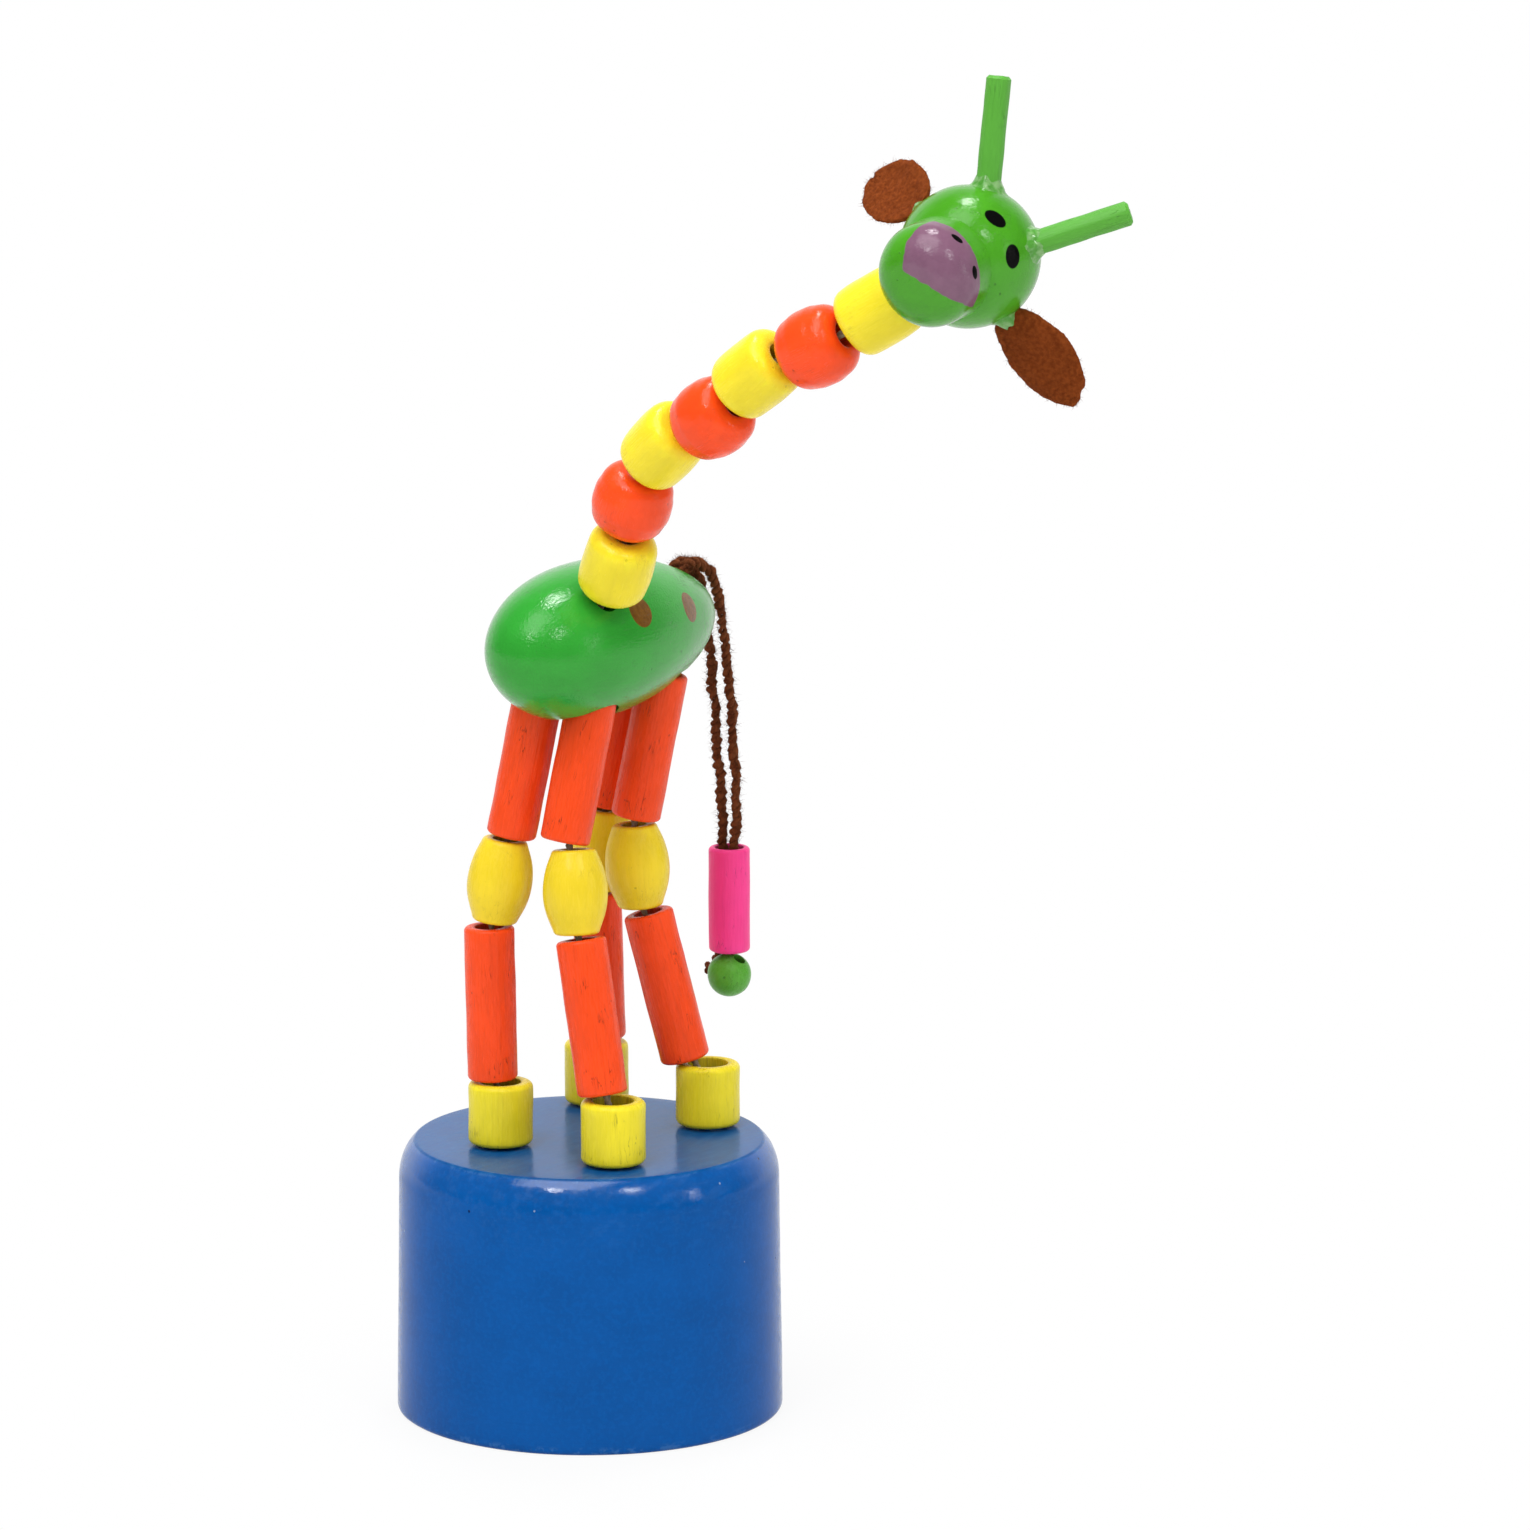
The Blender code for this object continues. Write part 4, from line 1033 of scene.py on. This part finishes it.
def horn_mesh(seed):
    """A dowel cut by hand: slightly faceted along its length, with a rough sawn end."""
    bm = bmesh.new()
    rim_layer = bm.verts.layers.float.new("rim")
    levels = [(HORN_LENGTH * row / HORN_ROWS, 1.0, 0.0) for row in range(HORN_ROWS)]
    levels += [(HORN_LENGTH - HORN_EDGE, 1.0, 1.0), (HORN_LENGTH, 1 - HORN_EDGE / HORN_RADIUS, 1.0),
               (HORN_LENGTH, 0.45, 0.0)]
    rings = []
    for height, share, rim in levels:
        ring = []
        for angle, out in around(40):
            facet = cos(HORN_FACET / 2) / cos((angle + seed) % HORN_FACET - HORN_FACET / 2)
            spot = out * HORN_RADIUS * share * (HORN_ROUND + HORN_FLAT * facet) + UP * height
            spot += out * uneven(spot, seed, 0.00005, 0.0022)
            if height == HORN_LENGTH:
                spot.z += uneven(spot, seed + 2, 0.00008, 0.0006)
            vert = bm.verts.new(spot)
            vert[rim_layer] = rim
            ring.append(vert)
        rings.append(ring)
    tube(bm, rings)
    return finish_mesh(bm)


COLLAR_ROWS = 9


def show_glue(name, centre, limb, inner, reach, seed):
    """Glue drawn up round a planted limb: a hollow-sided collar from its side down to the ball."""
    foot = planted(centre, limb, 0)
    middle = foot.inverted() @ centre.translation
    bm = bmesh.new()
    rings = []
    for row in range(COLLAR_ROWS + 1):
        share = row / COLLAR_ROWS
        ring = []
        for _, out in around(48):
            spot = out * (inner + reach * share * (1 + uneven(out, seed, 0.75, 0.9)))
            aside = spot - middle
            aside.z = 0
            ball = middle.z + sqrt(max(0.0, HEAD_RADIUS ** 2 - aside.length_squared))
            rise = reach * (1 + uneven(out, seed + 3, 0.8, 0.7)) * (1 - share) ** 2.2
            spot.z = ball + rise - 0.00006 * share
            spot += out * uneven(spot, seed + 5, 0.00012, 0.0007)
            ring.append(bm.verts.new(spot))
        rings.append(ring)
    # the collar's hidden underside, outer edge first
    for ring, depth in ((rings[-1], 0.0005), (rings[0], 0.0009)):
        rings.append([bm.verts.new(vert.co - UP * depth) for vert in ring])
    for lower, upper in zip(rings, rings[1:] + rings[:1]):
        bridge(bm, lower, upper)
    show(name, finish_mesh(bm, SOFT), "glue", foot, "head", None)


def leaf_half_width(along):
    oval = (2 - EAR_ROOT_CUT) * along - (1 - EAR_ROOT_CUT)
    return 0.5 * max(EAR_WIDTH * sqrt(max(0.0, 1 - oval ** 2)), EAR_TIP_WIDTH)


EAR_ROWS = 52
EAR_COLUMNS = 28


def ear_mesh(seed):
    """Felt leaf with a snipped, ragged edge and lightly matted faces."""
    half_thick = 0.5 * EAR_THICKNESS
    bm = bmesh.new()
    grids = []
    for face in (1, -1):
        grid = []
        for row in range(EAR_ROWS + 1):
            along = row / EAR_ROWS
            half = leaf_half_width(along)
            line = []
            for column in range(EAR_COLUMNS + 1):
                across = 2 * column / EAR_COLUMNS - 1
                cup = across ** 2 * (EAR_ROOT_CUP + (EAR_CUP - EAR_ROOT_CUP) * sin(pi * along))
                spot = Vector((half * across, cup, EAR_LENGTH * along))
                ragged = uneven(spot, seed, 0.00020, 0.0016) + uneven(spot, seed + 9, 0.00012, 0.0005)
                spot.x += copysign(ragged, across) * abs(across) ** 5
                spot.z += (uneven(spot, seed + 5, 0.0005, 0.0012) - 0.0003) * along ** 6
                matted = uneven(spot, seed + face, 0.00016, 0.0008) + uneven(spot, seed, 0.00035, 0.0040)
                spot.y += face * half_thick * (1 - 0.7 * abs(across) ** 8) + matted
                line.append(bm.verts.new(spot))
            grid.append(line)
        grids.append(grid)
    for grid in grids:
        for lower, upper in zip(grid, grid[1:]):
            for column in range(EAR_COLUMNS):
                bm.faces.new((lower[column], lower[column + 1], upper[column + 1], upper[column]))
    borders = []
    for grid in grids:
        border = grid[0] + [line[-1] for line in grid[1:]]
        borders.append(border + grid[-1][-2::-1] + [line[0] for line in grid[-2:0:-1]])
    bridge(bm, *borders)
    return finish_mesh(bm, SOFT)


EAR_HAIRS = 2600
EAR_HAIR_LENGTHS = (0.0002, 0.0006)
EAR_HAIR_WIDTH = 0.000018
EAR_ROOT_DEPTH = 0.0003
# Inner radius and reach of the glue round a horn and round an ear
HORN_GLUE = (HORN_RADIUS * 0.96, 0.0010)
EAR_GLUE = (0.0009, 0.0008)


def ear_fuzz(leaf, seed):
    """Loose felt fibres standing off a leaf's faces and edge."""
    rng = random.Random(seed)
    bm = bmesh.new()
    polygons = list(leaf.polygons)
    for _ in range(EAR_HAIRS):
        polygon = rng.choice(polygons)
        direction = (polygon.normal * 0.4 + scattered(rng) * 0.9).normalized()
        hair(bm, polygon.center - polygon.normal * 0.00004, direction, rng.uniform(*EAR_HAIR_LENGTHS),
             EAR_HAIR_WIDTH, scattered(rng) * 0.7)
    return finish_mesh(bm, SOFT)


def make_head(stack):
    centre = head_frame(stack[-1])
    ball = turn(plain([(0, HEAD_RADIUS), *arc(0, 0, HEAD_RADIUS, 90, -90, 56)[1:-1], (0, -HEAD_RADIUS)]),
                FINE_SIDES, 5, lumps=0.00007, size=0.004)
    nose = arc(SNOUT_RADIUS - SNOUT_ROUND, SNOUT_REACH - SNOUT_ROUND, SNOUT_ROUND, 90, 0, 20)
    side = [(SNOUT_RADIUS, SNOUT_REACH * share) for share in (0.62, 0.56, 0.5, 0.45, 0.2)]
    snout = turn(plain([(0, SNOUT_REACH), *nose, *side, (0, SNOUT_REACH * 0.2)]), FINE_SIDES, 6,
                 lumps=0.00007, size=0.004)
    mesh = joined(ball, centre, [(snout, centre @ SNOUT_TURN)], "UNION")
    MATERIALS["head"] = painted("green_head", (0.060, 0.315, 0.012), 0.35, 0.8, 0.13, 0.36, face_stamps)
    show("head_ball", mesh, "head", centre, "head", "head")
    for number, (name, horn) in enumerate(HORNS.items()):
        show("horn_dowel_" + name, horn_mesh(number + 1), "horn", planted(centre, horn, horn["depth"]),
             "head", "horn_" + name)
        show_glue("glue_horn_" + name, centre, horn, *HORN_GLUE, 3 + number * 4)
    for number, (name, ear) in enumerate(EARS.items()):
        root = planted(centre, ear, EAR_ROOT_DEPTH) @ Matrix.Rotation(ear["twist"], 4, "Z")
        leaf = show("ear_leaf_" + name, ear_mesh(20 + number), "felt", root, "head", "ear_" + name)
        fuzz = show("ear_fuzz_" + name, ear_fuzz(leaf.data, 40 + number), "felt", root, "head", None)
        show_glue("glue_ear_" + name, centre, ear, *EAR_GLUE, 12 + number * 5)


# Tail

# Loose yarn looks thicker than its core; length of one turn of its two plies, its unevenness and its fibres
YARN_LOFT = 1.12
YARN_TWIST = 0.0021
YARN_LUMPS = 0.8
YARN_SIDES = 9
YARN_HAIRS = 22
YARN_HAIR_LENGTHS = (0.0002, 0.0007)
YARN_HAIR_WIDTH = 0.000020
TAIL_KNOT_CORD = 0.00040


def crimp(point, seed):
    """How far unpicked yarn strays from a straight hang."""
    wave = Vector()
    for size, amount in ((0.0048, 0.00045), (0.0013, 0.00022)):
        wave.x += uneven(point, seed, amount, size)
        wave.y += uneven(point, seed + 3, amount, size)
    return wave


def fuzz_mesh(route, seed):
    """Loose fibres round a yarn."""
    rng = random.Random(seed)
    bm = bmesh.new()
    for point, tangent, across, other in along_route(route):
        for _ in range(YARN_HAIRS):
            out = turned(across, other, rng.uniform(0, 2 * pi))
            direction = (out * 0.7 + tangent * rng.uniform(-1.1, 1.1) + scattered(rng) * 0.5).normalized()
            hair(bm, point + out * YARN_RADIUS * 0.8, direction, rng.uniform(*YARN_HAIR_LENGTHS),
                 YARN_HAIR_WIDTH, scattered(rng) * 0.9)
    return finish_mesh(bm, SOFT)


def yarn_mesh(route, radius):
    return twisted(route, radius, 2, YARN_TWIST, YARN_SIDES, YARN_LUMPS)


def make_yarns(body):
    """The two strands from the egg to the pink bead, with their fuzz."""
    last = len(TAIL_ROUTE) - 1
    for side, name in ((1, "left"), (-1, "right")):
        points = []
        for index, (back, height) in enumerate(TAIL_ROUTE):
            apart = YARN_APART + (YARN_SPREAD - YARN_APART) * sin(pi * index / last)
            points.append(body["rump"] + Vector((side * apart / 2, back, height)))
        route = smooth_route(points, 14)
        crimped = [point + crimp(point, 5 + side) for point in route]
        yarn = link("yarn_" + name, yarn_mesh(crimped, YARN_RADIUS * YARN_LOFT), "yarn")
        fuzz = link("yarn_fuzz_" + name, fuzz_mesh(crimped, 7 + side), "yarn")
        for piece in (yarn, fuzz):
            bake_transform(piece)
        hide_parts("tail_yarn_" + name)


def make_tail(body):
    make_yarns(body)
    bead("tail_pink", PINK, UP, "pink", "tail", "tail_bead", 81)
    middle = cad_middle("tail_ball")
    bore = TAIL_BALL_BORE_RADIUS
    mouth = degrees(acos(bore / TAIL_BALL_RADIUS))
    outline = plain(arc(0, 0, TAIL_BALL_RADIUS, -mouth, mouth, 28))
    outline += [(bore, height, 0, 1) for height in (0.0020, 0, -0.0020)]
    show("tail_green_ball", turn(outline, BEAD_SIDES, 9, lumps=0.00008, size=0.0022), "ball",
         Matrix.Translation(middle) @ Matrix.Rotation(TAIL_BALL_TILT, 4, "Y"), "tail", "tail_ball")
    knot = cad_middle("tail_knot")
    show("tail_end_knot", knot_mesh(TAIL_KNOT_RADIUS, TAIL_KNOT_CORD), "yarn", Matrix.Translation(knot),
         "tail", "tail_knot")
    # the yarn leaves the pink bead, goes round the ball's side and ends in the knot
    aside = knot - middle
    aside.z = 0
    aside.normalize()
    route = smooth_route([cad_middle("tail_bead") - UP * PINK.length * 0.45,
                          middle + aside * TAIL_BALL_RADIUS * 0.62 + UP * TAIL_BALL_RADIUS * 1.02,
                          middle + aside * (TAIL_BALL_RADIUS + YARN_RADIUS) + UP * TAIL_BALL_RADIUS * 0.35,
                          knot], 8)
    show("tail_end_yarn", yarn_mesh(route, YARN_RADIUS), "yarn", Matrix.Identity(4), "tail", None)


# Stage, camera and lights

# Radii of the floor's rings, how far it lies under the drum, and where its own shade gives way to white
FLOOR_RINGS = (0.0005, 0.03, 0.06, 0.12, 0.3, 0.8, 2.5)
FLOOR_DROP = 0.00002
FLOOR_FADE = (0.024, 0.060)


def make_stage():
    bm = bmesh.new()
    rings = [ring_round(bm, -UP * FLOOR_DROP, Vector((1, 0, 0)), Vector((0, 1, 0)), radius, 64)
             for radius in FLOOR_RINGS]
    bm.faces.new(rings[0])
    for inner, outer in zip(rings, rings[1:]):
        bridge(bm, inner, outer)
    MATERIALS["floor"] = bpy.data.materials.new("white_floor")
    floor = Nodes(MATERIALS["floor"])
    floor.nodes.clear()
    place = floor.add("TexCoord", "Object", {})
    far = floor.add("VectorMath", "Value", {0: place}, operation="LENGTH")
    white_share = floor.times(floor.seen(), floor.ramp(far, *FLOOR_FADE, 0.90, 1.0))
    board = floor.add("BsdfDiffuse", "BSDF", {"Color": (0.70, 0.70, 0.70)})
    white = floor.add("Emission", "Emission", {})
    mixed = floor.add("MixShader", "Shader", {0: white_share, 1: board, 2: white})
    floor.add("OutputMaterial", None, {"Surface": mixed})
    link("floor", finish_mesh(bm), "floor")


def make_world(ambient, room):
    """White seen straight; mirrored, white on the backdrop's side and dim on the room's; ambient light."""
    world = bpy.data.worlds.new("studio")
    bpy.context.scene.world = world
    sky = Nodes(world)
    direction = sky.add("TexCoord", "Generated", {})
    facing = sky.dot(direction, (CAMERA_TARGET - CAMERA_PLACE).normalized())
    backdrop = sky.ramp(facing, 0.2, 0.85, room, 1.0)
    straight = sky.add("LightPath", "Is Camera Ray", {})
    inputs = {"Factor_Float": sky.seen(), "A_Float": ambient,
              "B_Float": sky.math("MAXIMUM", straight, backdrop)}
    background = sky.nodes["Background"].inputs
    sky.feed(background["Strength"], sky.add("Mix", "Result_Float", inputs))
    sky.feed(background["Color"], (1, 1, 1))


def aimed(name, data, place):
    """A camera or lamp at a place, turned to what the camera looks at."""
    item = add_object(name, data)
    item.location = place
    item.rotation_euler = (CAMERA_TARGET - item.location).to_track_quat("-Z", "Y").to_euler()
    return item


def softbox(name, azimuth, elevation, distance, width, height, watts):
    """An area light; azimuth is from the camera's own side, positive to its right."""
    data = bpy.data.lights.new(name, "AREA")
    data.shape = "RECTANGLE"
    data.size = width
    data.size_y = height
    data.energy = watts
    heading, rise = radians(CAMERA_HEADING + azimuth), radians(elevation)
    level = Vector((sin(heading), -cos(heading), 0))
    aimed(name, data, CAMERA_TARGET + (level * cos(rise) + UP * sin(rise)) * distance)


def make_camera():
    data = bpy.data.cameras.new("camera")
    data.sensor_width = 36.0
    data.lens = CAMERA_LENS
    data.clip_start = 0.05
    data.clip_end = 20.0
    bpy.context.scene.camera = aimed("camera", data, CAMERA_PLACE)


make_camera()
make_stage()
make_world(ambient=0.77, room=0.10)
# Azimuth, elevation, distance, width, height and watts
softbox("overhead", 180, 77, 0.80, 0.16, 0.16, 2.0)
softbox("front_right", 31, 43, 0.90, 0.09, 0.16, 0.9)
softbox("front_left", -27, 44, 0.90, 0.09, 0.14, 0.9)
softbox("side", 67, 13, 0.90, 0.06, 0.30, 0.4)
softbox("left", -32, 66, 0.90, 0.60, 0.60, 4.0)
bpy.context.scene.view_settings.view_transform = "Standard"

make_base()
make_button()
make_spring()
leg_stacks = make_legs()
make_leg_cords(leg_stacks)
body_places = make_body(leg_stacks)
neck_stack = make_neck()
make_neck_cord(neck_stack, body_places)
make_head(neck_stack)
make_tail(body_places)

bpy.context.view_layer.update()
